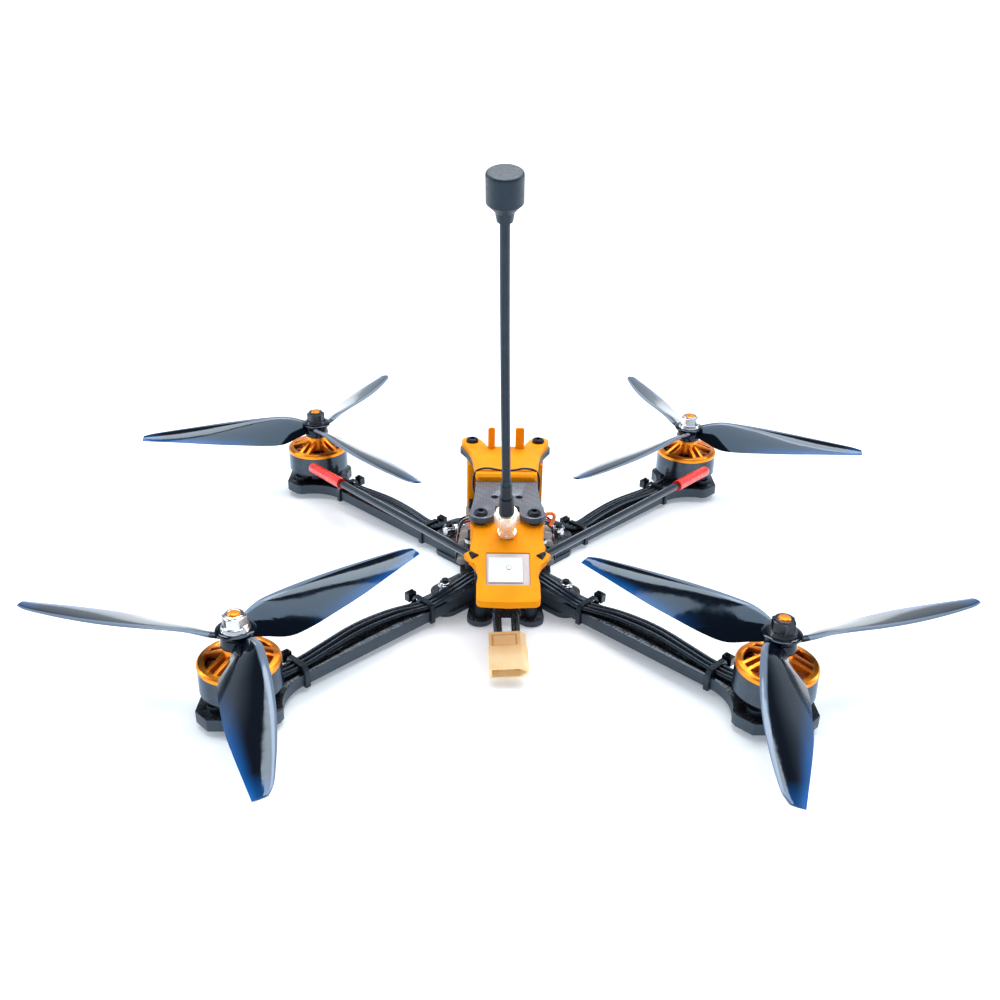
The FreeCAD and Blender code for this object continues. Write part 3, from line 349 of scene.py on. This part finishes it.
def make_materials():
    m = MATERIALS
    m["arm"] = carbon("carbon_arm", 45.0, 1.7, 0.022, 0.003, 0.24)
    m["plate"] = carbon("carbon_plate_top", 0.0, 1.25, 0.17, 0.12, 0.2)
    m["plate_low"] = carbon("carbon_plate_low", 0.0, 1.7, 0.05, 0.008, 0.26)
    m["print"] = printed("printed_orange", (1.0, 0.36, 0.0), (0.93, 0.27, 0.0))
    for corner, (sx, sy) in CORNERS.items():
        m["cap_" + corner] = anodised("orange_anodised_" + corner, (1.0, 0.33, 0.02), (0.92, 0.26, 0.014),
                                      (sx * MOTOR_XY, sy * MOTOR_XY))
    m["bell"] = worn("black_bell", (0.03, 0.041, 0.054), (0.045, 0.06, 0.078), 0.2, 0.75, 0.9, 0.003, 0.35)
    m["steel"] = worn("ground_steel", (0.6, 0.6, 0.62), (0.45, 0.45, 0.47), 0.25, 1.0)
    m["black_metal"] = worn("black_anodised", (0.009, 0.012, 0.016), (0.02, 0.026, 0.034), 0.34, 0.5)
    m["silver"] = worn("bright_plating", (0.68, 0.68, 0.7), (0.55, 0.55, 0.58), 0.1, 1.0, 1.2, 0.002)
    m["black_nut"] = worn("black_nut", (0.02, 0.021, 0.025), (0.05, 0.052, 0.058), 0.26, 0.8, 2.5, 0.008, 0.2)
    m["screw"] = worn("black_oxide", (0.014, 0.014, 0.016), (0.04, 0.04, 0.044), 0.3, 0.85, 2.2, 0.01)
    m["rubber"] = rubber_lead("grommet_rubber", (0.008, 0.008, 0.008), 0.6)
    m["lead"] = rubber_lead("silicone_lead")
    m["sleeve"] = rubber_lead("shrink_sleeve", (0.006, 0.009, 0.014), 0.2)
    m["nylon"] = worn("black_nylon", (0.005, 0.007, 0.01), (0.009, 0.013, 0.018), 0.24, 0.0, 1.2, 0.005, 0.15)
    m["antenna"] = worn("antenna_black", (0.004, 0.008, 0.014), (0.007, 0.013, 0.021), 0.42, 0.0, 0.8,
                        0.01, 0.05)
    m["gold"] = worn("connector_gold", (1.0, 0.86, 0.7), (0.98, 0.8, 0.6), 0.2, 0.55, 0.7, 0.002)
    m["brass_pin"] = worn("pin_gold", (0.95, 0.7, 0.3), (0.8, 0.52, 0.2), 0.22, 1.0, 2.0, 0.01)
    m["red"] = worn("red_vinyl", (0.82, 0.022, 0.01), (0.66, 0.012, 0.006), 0.2, 0.0, 0.6, 0.01, 0.25)
    m["plug"] = plug_nylon("plug_nylon")
    m["copper"] = copper_coils("copper_coils")
    m["prop"] = blade_plastic("blade_plastic")
    m["board"] = circuit("solder_mask")
    m["can"] = worn("tinned_can", (0.6, 0.6, 0.58), (0.45, 0.45, 0.45), 0.28, 1.0, 1.4, 0.01)
    m["chip"] = worn("chip_black", (0.01, 0.01, 0.011), (0.022, 0.022, 0.024), 0.45, 0.0, 3.0, 0.015)
    m["white"] = worn("white_nylon", (0.5, 0.49, 0.47), (0.38, 0.37, 0.35), 0.35, 0.0, 1.2, 0.02)
    m["ceramic"] = ceramic_patch("ceramic_white")
    m["silvered"] = worn("receiver_case", (0.56, 0.5, 0.5), (0.5, 0.44, 0.45), 0.4, 0.0, 1.5, 0.01)
    m["case"] = worn("camera_case", (0.014, 0.014, 0.016), (0.03, 0.03, 0.032), 0.4, 0.0, 1.5, 0.03)
    m["barrel"] = worn("lens_barrel", (0.012, 0.012, 0.014), (0.025, 0.025, 0.028), 0.25, 0.3, 1.5, 0.015)
    m["wire_red"] = rubber_lead("wire_red", (0.55, 0.02, 0.012))
    m["wire_orange"] = rubber_lead("wire_orange", (0.75, 0.16, 0.02))
    m["wire_white"] = rubber_lead("wire_white", (0.3, 0.3, 0.29))
    m["wire_yellow"] = rubber_lead("wire_yellow", (0.5, 0.36, 0.03))


# ---- meshes ----
def adopt(obj, body, replaced=()):
    """Ride on a body and stand for CAD nodes."""
    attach(obj, body)
    if replaced:
        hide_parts(*replaced)
    return obj


WELD = 2e-6                # metres between vertices that are one
FLAT = 0.6                 # degrees between faces that are one


def link(name, mesh, material, smooth=40.0):
    obj = bpy.data.objects.new(name, mesh)
    bpy.context.scene.collection.objects.link(obj)
    mesh.materials.append(material)
    if smooth:
        mesh.shade_smooth()
        mesh.set_sharp_from_angle(angle=math.radians(smooth))
    return obj


def from_bmesh(name, bm, material, smooth=40.0):
    bmesh.ops.recalc_face_normals(bm, faces=bm.faces)
    mesh = bpy.data.meshes.new(name)
    bm.to_mesh(mesh)
    bm.free()
    return link(name, mesh, material, smooth)


def apply_modifiers(obj):
    graph = bpy.context.evaluated_depsgraph_get()
    mesh = bpy.data.meshes.new_from_object(obj.evaluated_get(graph))
    old = obj.data
    obj.modifiers.clear()
    obj.data = mesh
    bpy.data.meshes.remove(old)


def refined(node, material, body, bevel=0.18, angle=28.0, segments=2):
    """Copy of a CAD node with softened edges, standing for that node."""
    bm = bmesh.new()
    bm.from_mesh(NODES[node].data)
    bmesh.ops.remove_doubles(bm, verts=bm.verts, dist=WELD)
    bmesh.ops.dissolve_limit(bm, angle_limit=math.radians(FLAT), verts=bm.verts, edges=bm.edges)
    mesh = bpy.data.meshes.new(node + "_look")
    bm.to_mesh(mesh)
    bm.free()
    obj = link(node + "_look", mesh, material, 0)
    modifier = obj.modifiers.new("edge", "BEVEL")
    modifier.width = bevel * MM
    modifier.segments = segments
    modifier.limit_method = "ANGLE"
    modifier.angle_limit = math.radians(angle)
    modifier.use_clamp_overlap = True
    modifier.harden_normals = False
    apply_modifiers(obj)
    obj.data.shade_smooth()
    obj.data.set_sharp_from_angle(angle=math.radians(32))
    return adopt(obj, body, (node,))


def dress(node, material):
    data = NODES[node].data
    data.materials.clear()
    data.materials.append(material)


def curve_tube(name, points, radius, material, body, replaced=(), order=3, resolution=8):
    """Round cord along control points in millimetres."""
    curve = bpy.data.curves.new(name, "CURVE")
    curve.dimensions = "3D"
    curve.bevel_depth = radius * MM
    curve.bevel_resolution = 5
    curve.use_fill_caps = True
    curve.resolution_u = resolution
    spline = curve.splines.new("NURBS")
    spline.points.add(len(points) - 1)
    for control, point in zip(spline.points, points):
        control.co = (*[c * MM for c in point], 1.0)
    spline.order_u = order
    spline.use_endpoint_u = True
    curve.materials.append(material)
    obj = bpy.data.objects.new(name, curve)
    bpy.context.scene.collection.objects.link(obj)
    return adopt(obj, body, replaced)


def box_mesh(bm, size, centre, turn=None):
    """Add a box in millimetres to a bmesh."""
    made = bmesh.ops.create_cube(bm, size=1.0)
    matrix = Matrix.Translation(Vector(centre) * MM)
    if turn is not None:
        matrix = matrix @ turn
    matrix = matrix @ Matrix.Diagonal((*[s * MM for s in size], 1.0))
    bmesh.ops.transform(bm, matrix=matrix, verts=made["verts"])
    return made["verts"]


def bevel_all(bm, width, segments=2):
    bmesh.ops.bevel(bm, geom=list(bm.edges), offset=width * MM, segments=segments, affect="EDGES",
                    clamp_overlap=True)


def skin(bm, rings):
    """Join closed rings of vertices one to the next and cap both ends."""
    for low, high in zip(rings, rings[1:]):
        for k in range(len(low)):
            n = (k + 1) % len(low)
            bm.faces.new((low[k], low[n], high[n], high[k]))
    bm.faces.new(rings[0])
    bm.faces.new(list(reversed(rings[-1])))


def lathe(bm, profile, steps=48, centre=(0, 0, 0)):
    """Turn a profile of (radius, height) in millimetres about Z; closed where the radius is 0."""
    rings = []
    cx, cy, cz = centre
    for radius, height in profile:
        if radius < 1e-6:
            rings.append([bm.verts.new(Vector((cx, cy, cz + height)) * MM)])
            continue
        ring = []
        for k in range(steps):
            a = 2 * math.pi * k / steps
            place = Vector((cx + radius * math.cos(a), cy + radius * math.sin(a), cz + height))
            ring.append(bm.verts.new(place * MM))
        rings.append(ring)
    for low, high in zip(rings, rings[1:]):
        if len(low) == 1 and len(high) == 1:
            continue
        for k in range(steps):
            n = (k + 1) % steps
            if len(low) == 1:
                bm.faces.new((low[0], high[n], high[k]))
            elif len(high) == 1:
                bm.faces.new((low[k], low[n], high[0]))
            else:
                bm.faces.new((low[k], low[n], high[n], high[k]))


# ---- propellers ----
# (radius, chord, leading edge's offset ahead of the blade's axis, pitch in degrees), as in the CAD
BLADE = [
    (4.6, 7.8, 4.6, 30.0), (10.0, 12.9, 6.2, 33.0), (17.0, 18.8, 6.8, 31.0), (26.0, 20.1, 6.6, 27.0),
    (38.0, 19.4, 5.8, 22.0), (52.0, 17.5, 4.0, 17.0), (66.0, 13.8, 1.2, 13.5), (77.0, 10.3, -1.5, 11.5),
    (84.0, 7.7, -3.6, 10.5), (88.0, 5.1, -5.9, 10.0),
]


def smooth_between(rows, t):
    """Catmull-Rom through the rows at parameter t from 0 to 1."""
    place = t * (len(rows) - 1)
    i = min(int(place), len(rows) - 2)
    f = place - i
    a, b = rows[max(i - 1, 0)], rows[i]
    c, d = rows[i + 1], rows[min(i + 2, len(rows) - 1)]
    out = []
    for p, q, r, s in zip(a, b, c, d):
        out.append(0.5 * ((2 * q) + (r - p) * f + (2 * p - 5 * q + 4 * r - s) * f * f
                          + (3 * q - p - 3 * r + s) * f ** 3))
    return out


HUB = [
    (2.5, -4.0), (5.4, -4.0), (6.0, -3.5), (6.1, -1.5), (5.7, 0.2), (6.4, 1.4), (7.3, 2.3), (7.4, 3.0),
    (7.1, 3.2), (5.4, 3.2), (5.2, 2.7), (3.2, 2.7), (2.5, 2.7), (2.5, -4.0),
]
BLADES = 3
BLADE_SPANS = 46
FOIL_SAMPLES = 12
TIP_THICK = 0.8
ROOT_EXTRA = 1.9           # how much thicker the blade is at the axis than at the tip


def foil(samples):
    """Loop of (chord fraction, thickness fraction) from the trailing edge over the top."""
    upper = []
    for k in range(samples + 1):
        s = 0.5 * (1 - math.cos(math.pi * k / samples))
        thick = 2.1 * math.sqrt(s) * (1 - s) + 0.12 * s + 0.18 * math.sin(math.pi * s)
        upper.append((s, min(thick, 1.0)))
    top = [(s, 0.65 * t) for s, t in reversed(upper)]
    low = [(s, -0.35 * t) for s, t in upper[1:-1]]
    return top + low


def add_blade(bm, layer, sense, azimuth, centre):
    """Loft one blade; each vertex keeps its chord and span fractions for the material."""
    loop = foil(FOIL_SAMPLES)
    rings = []
    turn = Matrix.Rotation(math.radians(azimuth), 4, "Z")
    for k in range(BLADE_SPANS + 1):
        radius, chord, lead, pitch = smooth_between(BLADE, k / BLADE_SPANS)
        thick = TIP_THICK + ROOT_EXTRA * (1 - radius / PROP_R)
        tilt = math.radians(pitch)
        ring = []
        for s, h in loop:
            along, height = s * chord, h * thick
            y = lead - along * math.cos(tilt) - height * math.sin(tilt)
            z = (0.45 * chord - along) * math.sin(tilt) + height * math.cos(tilt)
            point = turn @ Vector((radius, sense * y, z))
            vert = bm.verts.new((point + Vector(centre)) * MM)
            vert[layer] = Vector((s, radius / PROP_R, 0.0))
            ring.append(vert)
        rings.append(ring)
    skin(bm, rings)


def build_propellers():
    for corner, (sx, sy) in CORNERS.items():
        sense, azimuth = TURN[corner]
        centre = (sx * MOTOR_XY, sy * MOTOR_XY, BLADE_Z)
        bm = bmesh.new()
        layer = bm.verts.layers.float_vector.new("blade")
        for k in range(BLADES):
            add_blade(bm, layer, sense, azimuth + 360 / BLADES * k, centre)
        lathe(bm, HUB, 54, centre)
        obj = from_bmesh("propeller_look_" + corner, bm, MATERIALS["prop"], 35)
        adopt(obj, "rotor_" + corner, ("propeller_" + corner,))


# ---- leads, ties and cords ----
ARM_LEAD_R = 1.0
LEAD_PITCH = 2.5
ARM_TOP = 7.5
BOARD_TOP = 14.6           # speed controller's top face
CONTROL_TOP = 22.0         # flight controller's top face
PAD_X = (11.5, 9.2, 6.9)
PAD_Y = 15.6
TIE_INNER = {"rear_left": 50.0, "rear_right": 49.7, "front_left": 51.0, "front_right": 51.0}
TIE_OUTER = 115.2
TIE_WIDTH = 2.5
TIE_THICK = 0.95
ARM_HALF = 5.5
PLUG_REAR = Vector((0, -66.9, 13.3))
PLUG_TURN = Matrix.Rotation(math.radians(3), 3, "Z") @ Matrix.Rotation(math.radians(27), 3, "X")
PLUG_TURN = PLUG_TURN @ Matrix.Rotation(math.radians(-3.5), 3, "Y")
LEAD_X = 3.6


def arm_place(sx, sy, u, v, z):
    """Point u along the arm and v across it, positive towards the nearer end of the body."""
    k = 1 / math.sqrt(2)
    return (k * (sx * u - sx * v), k * (sy * u + sy * v), z)


def lead_route(sx, sy, k):
    """Route of a corner's lead k from its board pad along the arm to the motor, as in the CAD."""
    low = ARM_TOP + ARM_LEAD_R + 0.05
    high = BOARD_TOP + ARM_LEAD_R + 0.3
    bow = 1.8 if sy > 0 else -2.4
    row = LEAD_PITCH * (k - 1)
    wave = (0.0, 0.4, -0.2)[k]
    route = [
        (39.0, 6.8 + 0.92 * row, low + 5.6), (47.0, 2.9 + 0.92 * row, low + 0.6),
        (54.0, 0.4 + 0.95 * row, low + 0.05),
        (66.0, row + 0.8 * bow, low + 1.2 + wave), (84.0, row + 1.1 * bow, low + 1.9 + wave),
        (101.0, row + 0.5 * bow, low + 0.9), (115.0, row, low + 0.1), (125.1, row, ARM_TOP + 1.7),
    ]
    pad = (sx * PAD_X[k], sy * (PAD_Y + 0.3), high)
    turn = (sx * (PAD_X[k] + 0.8), sy * (PAD_Y + 6.0 + k), high + 2.2)
    return [pad, turn] + [arm_place(sx, sy, u, v, z) for u, v, z in route]


def build_motor_leads():
    first = True
    for corner, (sx, sy) in CORNERS.items():
        for k in range(3):
            replaced = ("motor_leads",) if first else ()
            curve_tube("motor_lead_%s_%d" % (corner, k + 1), lead_route(sx, sy, k), ARM_LEAD_R,
                       MATERIALS["lead"], "airframe", replaced)
            first = False


def build_power_leads():
    housing = refined("xt60_housing", MATERIALS["plug"], "airframe", 0.25)
    for side, name in ((-1, "left"), (1, "right")):
        end = PLUG_REAR + PLUG_TURN @ Vector((side * LEAD_X, 0, 0))
        near = PLUG_REAR + PLUG_TURN @ Vector((side * LEAD_X, 10.5, 0))
        x = side * LEAD_X
        points = [(x, -14.6, 17.4), (x * 1.05, -25.0, 16.9), (x * 1.25, -36.0, 17.6 + 0.5 * side),
                  (x * 1.1, -47.0, 18.2), tuple(near), tuple(end)]
        obj = curve_tube("power_lead_look_" + name, points, 1.75, MATERIALS["lead"], "airframe",
                         ("power_lead_" + name,))


def tie_section(corner_cut, grow):
    """Outline of a tie round the arm and its leads, as (across, height)."""
    half = ARM_HALF + 0.1 + grow
    low = 2.45 - grow
    high = ARM_TOP + 2 * ARM_LEAD_R + 0.45 + grow
    return [(-half, low), (half, low), (half, ARM_TOP + 0.6), (half - corner_cut, high),
            (-half + corner_cut, high), (-half, ARM_TOP + 0.6)]


def build_zip_ties():
    bm = bmesh.new()
    for corner, (sx, sy) in CORNERS.items():
        turn = Matrix.Rotation(math.atan2(sy, sx), 4, "Z")
        for u in (TIE_INNER[corner], TIE_OUTER):
            rings = []
            for du in (-TIE_WIDTH / 2, TIE_WIDTH / 2):
                for grow in (0.0, TIE_THICK):
                    ring = []
                    for across, height in tie_section(1.9, grow):
                        ring.append(bm.verts.new(turn @ (Vector((u + du, across, height)) * MM)))
                    rings.append(ring)
            inner_a, outer_a, inner_b, outer_b = rings
            count = len(inner_a)
            for k in range(count):
                n = (k + 1) % count
                bm.faces.new((outer_a[k], outer_a[n], outer_b[n], outer_b[k]))
                bm.faces.new((inner_a[k], inner_b[k], inner_b[n], inner_a[n]))
                bm.faces.new((inner_a[k], inner_a[n], outer_a[n], outer_a[k]))
                bm.faces.new((inner_b[k], outer_b[k], outer_b[n], inner_b[n]))
            head = turn @ Vector((u, sx * (ARM_HALF + 2.6), ARM_TOP + 1.5))
            box_mesh(bm, (4.4, 3.2, 4.0), head, turn)
            stub = turn @ Vector((u, sx * (ARM_HALF + 2.4), ARM_TOP + 3.9))
            box_mesh(bm, (TIE_WIDTH, 1.1, 1.2), stub, turn)
    bevel_all(bm, 0.22)
    obj = from_bmesh("zip_ties_look", bm, MATERIALS["nylon"], 40)
    adopt(obj, "airframe", ("zip_ties",))


def build_lead_sleeves():
    """Shrink sleeves over the leads where they meet each motor."""
    for corner, (sx, sy) in CORNERS.items():
        for k in range(3):
            route = lead_route(sx, sy, k)
            start, end = Vector(route[-2]), Vector(route[-1])
            first = start.lerp(end, 0.62)
            points = [tuple(first), tuple(first.lerp(end, 0.5)), tuple(end)]
            curve_tube("lead_sleeve_%s_%d" % (corner, k + 1), points, ARM_LEAD_R + 0.14, MATERIALS["sleeve"],
                       "airframe")


# ---- small parts on the boards ----
STACK_HOLE = 15.25         # half the spacing of the boards' holes
SPACER_CLEAR = 4.6
CHIP_SIZES = [(1.6, 0.8, 0.7), (2.0, 1.25, 0.8), (3.0, 3.0, 0.9), (1.0, 0.5, 0.5)]
# side plugs on the boards, for the right-hand side, and the wires that leave them
PLUG_SPOTS = [
    (18.9, 3.0, 23.9), (18.9, -6.5, 23.9), (19.4, -11.5, 17.3), (19.4, 6.0, 17.3), (18.0, -13.0, 31.4),
]
WIRE_COLOURS = ["wire_white", "lead", "lead", "wire_red", "lead"]
WIRES_PER_PLUG = 4
WIRE_PITCH = 1.1


def parts_on_board(name, z, side, seed, count):
    """Scattered chips, resistors and capacitors on a board's top face, clear of its spacers."""
    rng = random.Random(seed)
    chips, metal = bmesh.new(), bmesh.new()
    for _ in range(count):
        x, y = rng.uniform(-side, side), rng.uniform(-side, side)
        if math.hypot(abs(x) - STACK_HOLE, abs(y) - STACK_HOLE) < SPACER_CLEAR:
            continue
        w, d, h = rng.choice(CHIP_SIZES)
        target = chips if rng.random() < 0.55 else metal
        spin = Matrix.Rotation(rng.choice([0, math.pi / 2]), 4, "Z")
        box_mesh(target, (w, d, h), (x, y, z + h / 2 - 0.02), spin)
    for bm, label, material in ((chips, "chips", "chip"), (metal, "passives", "can")):
        bevel_all(bm, 0.08, 1)
        adopt(from_bmesh("%s_%s" % (name, label), bm, MATERIALS[material], 30), "airframe")


def build_connectors():
    """White plug housings at the boards' sides and the short wires that leave them."""
    bm = bmesh.new()
    index = 0
    for s in (-1, 1):
        for x, y, z in PLUG_SPOTS:
            box_mesh(bm, (3.0, 5.6, 3.0), (s * x, y, z))
            box_mesh(bm, (1.0, 4.6, 1.9), (s * (x + 1.7), y, z))
            for k in range(WIRES_PER_PLUG):
                dy = (k - (WIRES_PER_PLUG - 1) / 2) * WIRE_PITCH
                lift = 2.4 + 0.7 * ((k + index) % 3)
                points = [
                    (s * (x + 1.8), y + dy, z), (s * (x + 2.6), y + dy * 1.1, z + 0.5),
                    (s * (x + 2.2), y + dy + 1.2, z + lift), (s * (x - 0.2), y + dy + 2.4, z + lift + 2.0),
                    (s * (x - 5.0), y + dy + 2.8, z + lift + 2.2),
                ]
                colour = WIRE_COLOURS[(2 * k + index) % len(WIRE_COLOURS)]
                curve_tube("board_wire_%d_%d" % (index, k), points, 0.4, MATERIALS[colour],
                           "airframe", resolution=6)
            index += 1
    bevel_all(bm, 0.2)
    adopt(from_bmesh("board_plugs", bm, MATERIALS["white"], 30), "airframe")


def build_orange_loop():
    """Looped spare wire at the right-hand side of the boards."""
    points = [(13.6, -14.0, 38.4), (16.0, -14.5, 40.4), (18.4, -14.2, 42.0), (20.9, -13.8, 41.0),
              (20.8, -13.6, 38.2), (19.2, -13.8, 35.6)]
    curve_tube("orange_loop", points, 0.8, MATERIALS["wire_orange"], "airframe")


def build_pad_tie():
    """Thin elastic tie over the front pad's groove and down the top plate's sides."""
    for s, name in ((-1, "left"), (1, "right")):
        points = [
            (s * 0.5, 1.4, 54.6), (s * 3.5, 1.4, 54.9), (s * 8.0, 1.6, 55.9), (s * 12.6, 1.4, 55.2),
            (s * 14.4, 0.4, 53.0), (s * 14.6, -1.6, 49.6), (s * 14.2, -3.4, 46.4), (s * 12.4, -4.0, 44.6),
        ]
        curve_tube("pad_tie_" + name, points, 0.5, MATERIALS["nylon"], "airframe")


def build_lead_wrap():
    """Shrink wrap that holds both battery leads together behind the hood."""
    bm = bmesh.new()
    rings, steps = [], 40
    for y, z, grow in ((-50.0, 18.1, 0.0), (-50.4, 18.1, 0.25), (-57.2, 17.6, 0.3), (-57.6, 17.45, 0.0)):
        ring = []
        for k in range(steps):
            a = 2 * math.pi * k / steps
            half = LEAD_X * 1.05 if math.cos(a) > 0 else -LEAD_X * 1.05
            squeeze = 1.0 - 0.12 * (1 - min(1.0, abs(math.cos(a)) * 2))
            r = 1.8 + grow
            point = Vector((half + r * math.cos(a), y, z + squeeze * r * math.sin(a)))
            ring.append(bm.verts.new(point * MM))
        rings.append(ring)
    skin(bm, rings)
    adopt(from_bmesh("lead_wrap", bm, MATERIALS["sleeve"], 40), "airframe")


GPS_SLOPE = 17.3           # degrees that the receiver leans back


def build_gps():
    """Satellite receiver: case, ceramic patch on its face and the patch's feed pin."""
    refined("gps_module", MATERIALS["silvered"], "airframe", 0.3)
    slope = math.radians(GPS_SLOPE)
    low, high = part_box("gps_module")
    middle = (Vector(low) + Vector(high)) / 2 / MM
    tilt = Matrix.Rotation(slope, 4, "X")
    face = middle + tilt.to_3x3() @ Vector((0, 0, 2.1))
    bm = bmesh.new()
    place = face + tilt.to_3x3() @ Vector((-0.9, -0.7, 0.05))
    box_mesh(bm, (13.6, 13.4, 0.5), place, tilt)
    bevel_all(bm, 0.22)
    adopt(from_bmesh("gps_patch", bm, MATERIALS["ceramic"], 30), "airframe")
    bm = bmesh.new()
    lathe(bm, [(0.0, 0.0), (1.1, 0.0), (1.05, 0.12), (0.75, 0.3), (0.7, 0.42), (0.3, 0.5), (0.0, 0.52)], 24)
    pin = from_bmesh("gps_pin", bm, MATERIALS["silver"], 30)
    pin.data.transform(Matrix.Translation((face + tilt.to_3x3() @ Vector((0.2, 0.2, 0.3))) * MM) @ tilt)
    adopt(pin, "airframe")


# ---- staging ----
FLOOR_HALF = 40.0          # metres, so that its edge is never seen
# (name, place in metres, width and length, watts)
STRIPS = [
    ("left_strip", (-1.1, 0.1, 0.55), (0.22, 1.3), 6.0),
    ("right_strip", (1.15, 0.2, 0.6), (0.22, 1.3), 6.0),
    ("front_strip", (0.0, 0.85, 1.15), (1.7, 0.26), 11.0),
]
# the world is bright near the horizon and dim overhead: height of the ray, then strength
FADE = {"From Min": 0.3, "From Max": 0.5, "To Min": 1.0, "To Max": 0.16}


def build_stage():
    bpy.context.scene.view_settings.view_transform = "Standard"
    bm = bmesh.new()
    bmesh.ops.create_grid(bm, x_segments=1, y_segments=1, size=FLOOR_HALF)
    floor = from_bmesh("studio_floor", bm, floor_material(), 0)
    floor.location.z = -0.0002
    world = bpy.data.worlds.new("studio_world")
    world.use_nodes = True
    nodes, links = world.node_tree.nodes, world.node_tree.links
    background = nodes["Background"]
    background.inputs[0].default_value = (0.78, 0.89, 1.0, 1.0)
    place = nodes.new("ShaderNodeTexCoord")
    parts = nodes.new("ShaderNodeSeparateXYZ")
    fade = nodes.new("ShaderNodeMapRange")
    links.new(place.outputs["Generated"], parts.inputs[0])
    links.new(parts.outputs[2], fade.inputs["Value"])
    for key, value in FADE.items():
        fade.inputs[key].default_value = value
    links.new(fade.outputs[0], background.inputs[1])
    bpy.context.scene.world = world
    sky = bpy.data.lights.new("ceiling", "SUN")
    sky.energy = 2.6
    sky.angle = math.radians(48)
    sky.color = (0.91, 0.96, 1.0)
    lamp = bpy.data.objects.new("ceiling", sky)
    lamp.rotation_euler = (math.radians(-8), math.radians(5), 0)
    bpy.context.scene.collection.objects.link(lamp)
    for name, place, (wide, tall), power in STRIPS:
        data = bpy.data.lights.new(name, "AREA")
        data.energy = power
        data.shape = "RECTANGLE"
        data.size, data.size_y = wide, tall
        lamp = bpy.data.objects.new(name, data)
        lamp.location = place
        aim = Vector((0, 0, 0.03)) - Vector(place)
        lamp.rotation_euler = aim.to_track_quat("-Z", "Y").to_euler()
        bpy.context.scene.collection.objects.link(lamp)


def floor_material():
    material, g = new_material("pale_floor")
    cloud = g.noise(g.position(), 0.004, 2.0)
    g.shade(Base_Color=g.mix(cloud, rgb(0.93, 0.94, 0.955), rgb(0.95, 0.955, 0.965)), Roughness=0.7,
            Specular_IOR_Level=0.2, Emission_Color=rgb(0.8, 0.9, 1.0), Emission_Strength=0.25)
    return material


CAMERA_PLACE = (-9.91, -419.3, 246.8)
CAMERA_TURN = (26.276, 0.727, 0.873)      # degrees down, to the right and rolled
CAMERA_LENS = 37.81
CAMERA_SHIFT = (0.0045, 0.0023)


def build_camera():
    """Camera behind and above the drone, looking forward and down at it."""
    pitch, yaw, roll = [math.radians(angle) for angle in CAMERA_TURN]
    forward = Vector((math.sin(yaw) * math.cos(pitch), math.cos(yaw) * math.cos(pitch), -math.sin(pitch)))
    right = Vector((math.cos(yaw), -math.sin(yaw), 0))
    up = right.cross(forward)
    turned_right = right * math.cos(roll) + up * math.sin(roll)
    turned_up = up * math.cos(roll) - right * math.sin(roll)
    data = bpy.data.cameras.new("camera")
    data.lens = CAMERA_LENS
    data.sensor_width = 36.0
    data.shift_x, data.shift_y = CAMERA_SHIFT
    data.clip_start = 0.01
    camera = bpy.data.objects.new("camera", data)
    bpy.context.scene.collection.objects.link(camera)
    axes = Matrix((turned_right, turned_up, -forward)).transposed()
    camera.matrix_world = Matrix.Translation(Vector(CAMERA_PLACE) * MM) @ axes.to_4x4()
    bpy.context.scene.camera = camera


# ---- dressing the CAD nodes ----
def build_motors():
    for corner in CORNERS:
        rotor = "rotor_" + corner
        nut = "silver" if corner in ("rear_left", "front_right") else "black_nut"
        refined("bell_cap_" + corner, MATERIALS["cap_" + corner], rotor, 0.15)
        dress("flux_ring_" + corner, MATERIALS["bell"])
        dress("motor_shaft_" + corner, MATERIALS["steel"])
        refined("prop_nut_" + corner, MATERIALS[nut], rotor, 0.2)
        refined("motor_base_" + corner, MATERIALS["black_metal"], "airframe", 0.12)
        dress("stator_" + corner, MATERIALS["copper"])


def build_frame_looks():
    for corner in CORNERS:
        refined("arm_" + corner, MATERIALS["arm"], "airframe", 0.3)
    refined("top_plate", MATERIALS["plate"], "airframe", 0.22)
    refined("mid_plate", MATERIALS["plate_low"], "airframe", 0.22)
    refined("bottom_plate", MATERIALS["plate_low"], "airframe", 0.22)
    refined("front_mount", MATERIALS["print"], "airframe", 0.4)
    refined("camera_cage", MATERIALS["print"], "airframe", 0.3)
    refined("rear_mount", MATERIALS["print"], "airframe", 0.35)
    refined("sma_connector", MATERIALS["gold"], "airframe", 0.2)
    refined("lock_nuts", MATERIALS["silver"], "airframe", 0.15)
    refined("camera_body", MATERIALS["case"], "camera", 0.2)
    plain = {"standoffs": "black_metal", "frame_screws": "screw", "plate_screws": "screw",
             "stack_spacers": "rubber", "esc_board": "board", "flight_controller": "board",
             "video_transmitter": "can", "antenna_stalk": "antenna", "antenna_cap": "antenna",
             "receiver_tubes": "sleeve", "tube_caps": "red", "xt60_contacts": "brass_pin",
             "camera_lens": "barrel"}
    for node, key in plain.items():
        dress(node, MATERIALS[key])


def main():
    build_camera()
    make_materials()
    build_power_leads()
    build_motor_leads()
    build_lead_sleeves()
    build_zip_ties()
    build_propellers()
    build_motors()
    build_frame_looks()
    parts_on_board("speed_control", BOARD_TOP, 18.0, 3, 60)
    parts_on_board("flight_control", CONTROL_TOP, 17.0, 5, 70)
    build_connectors()
    build_orange_loop()
    build_pad_tie()
    build_lead_wrap()
    build_gps()
    build_stage()


main()
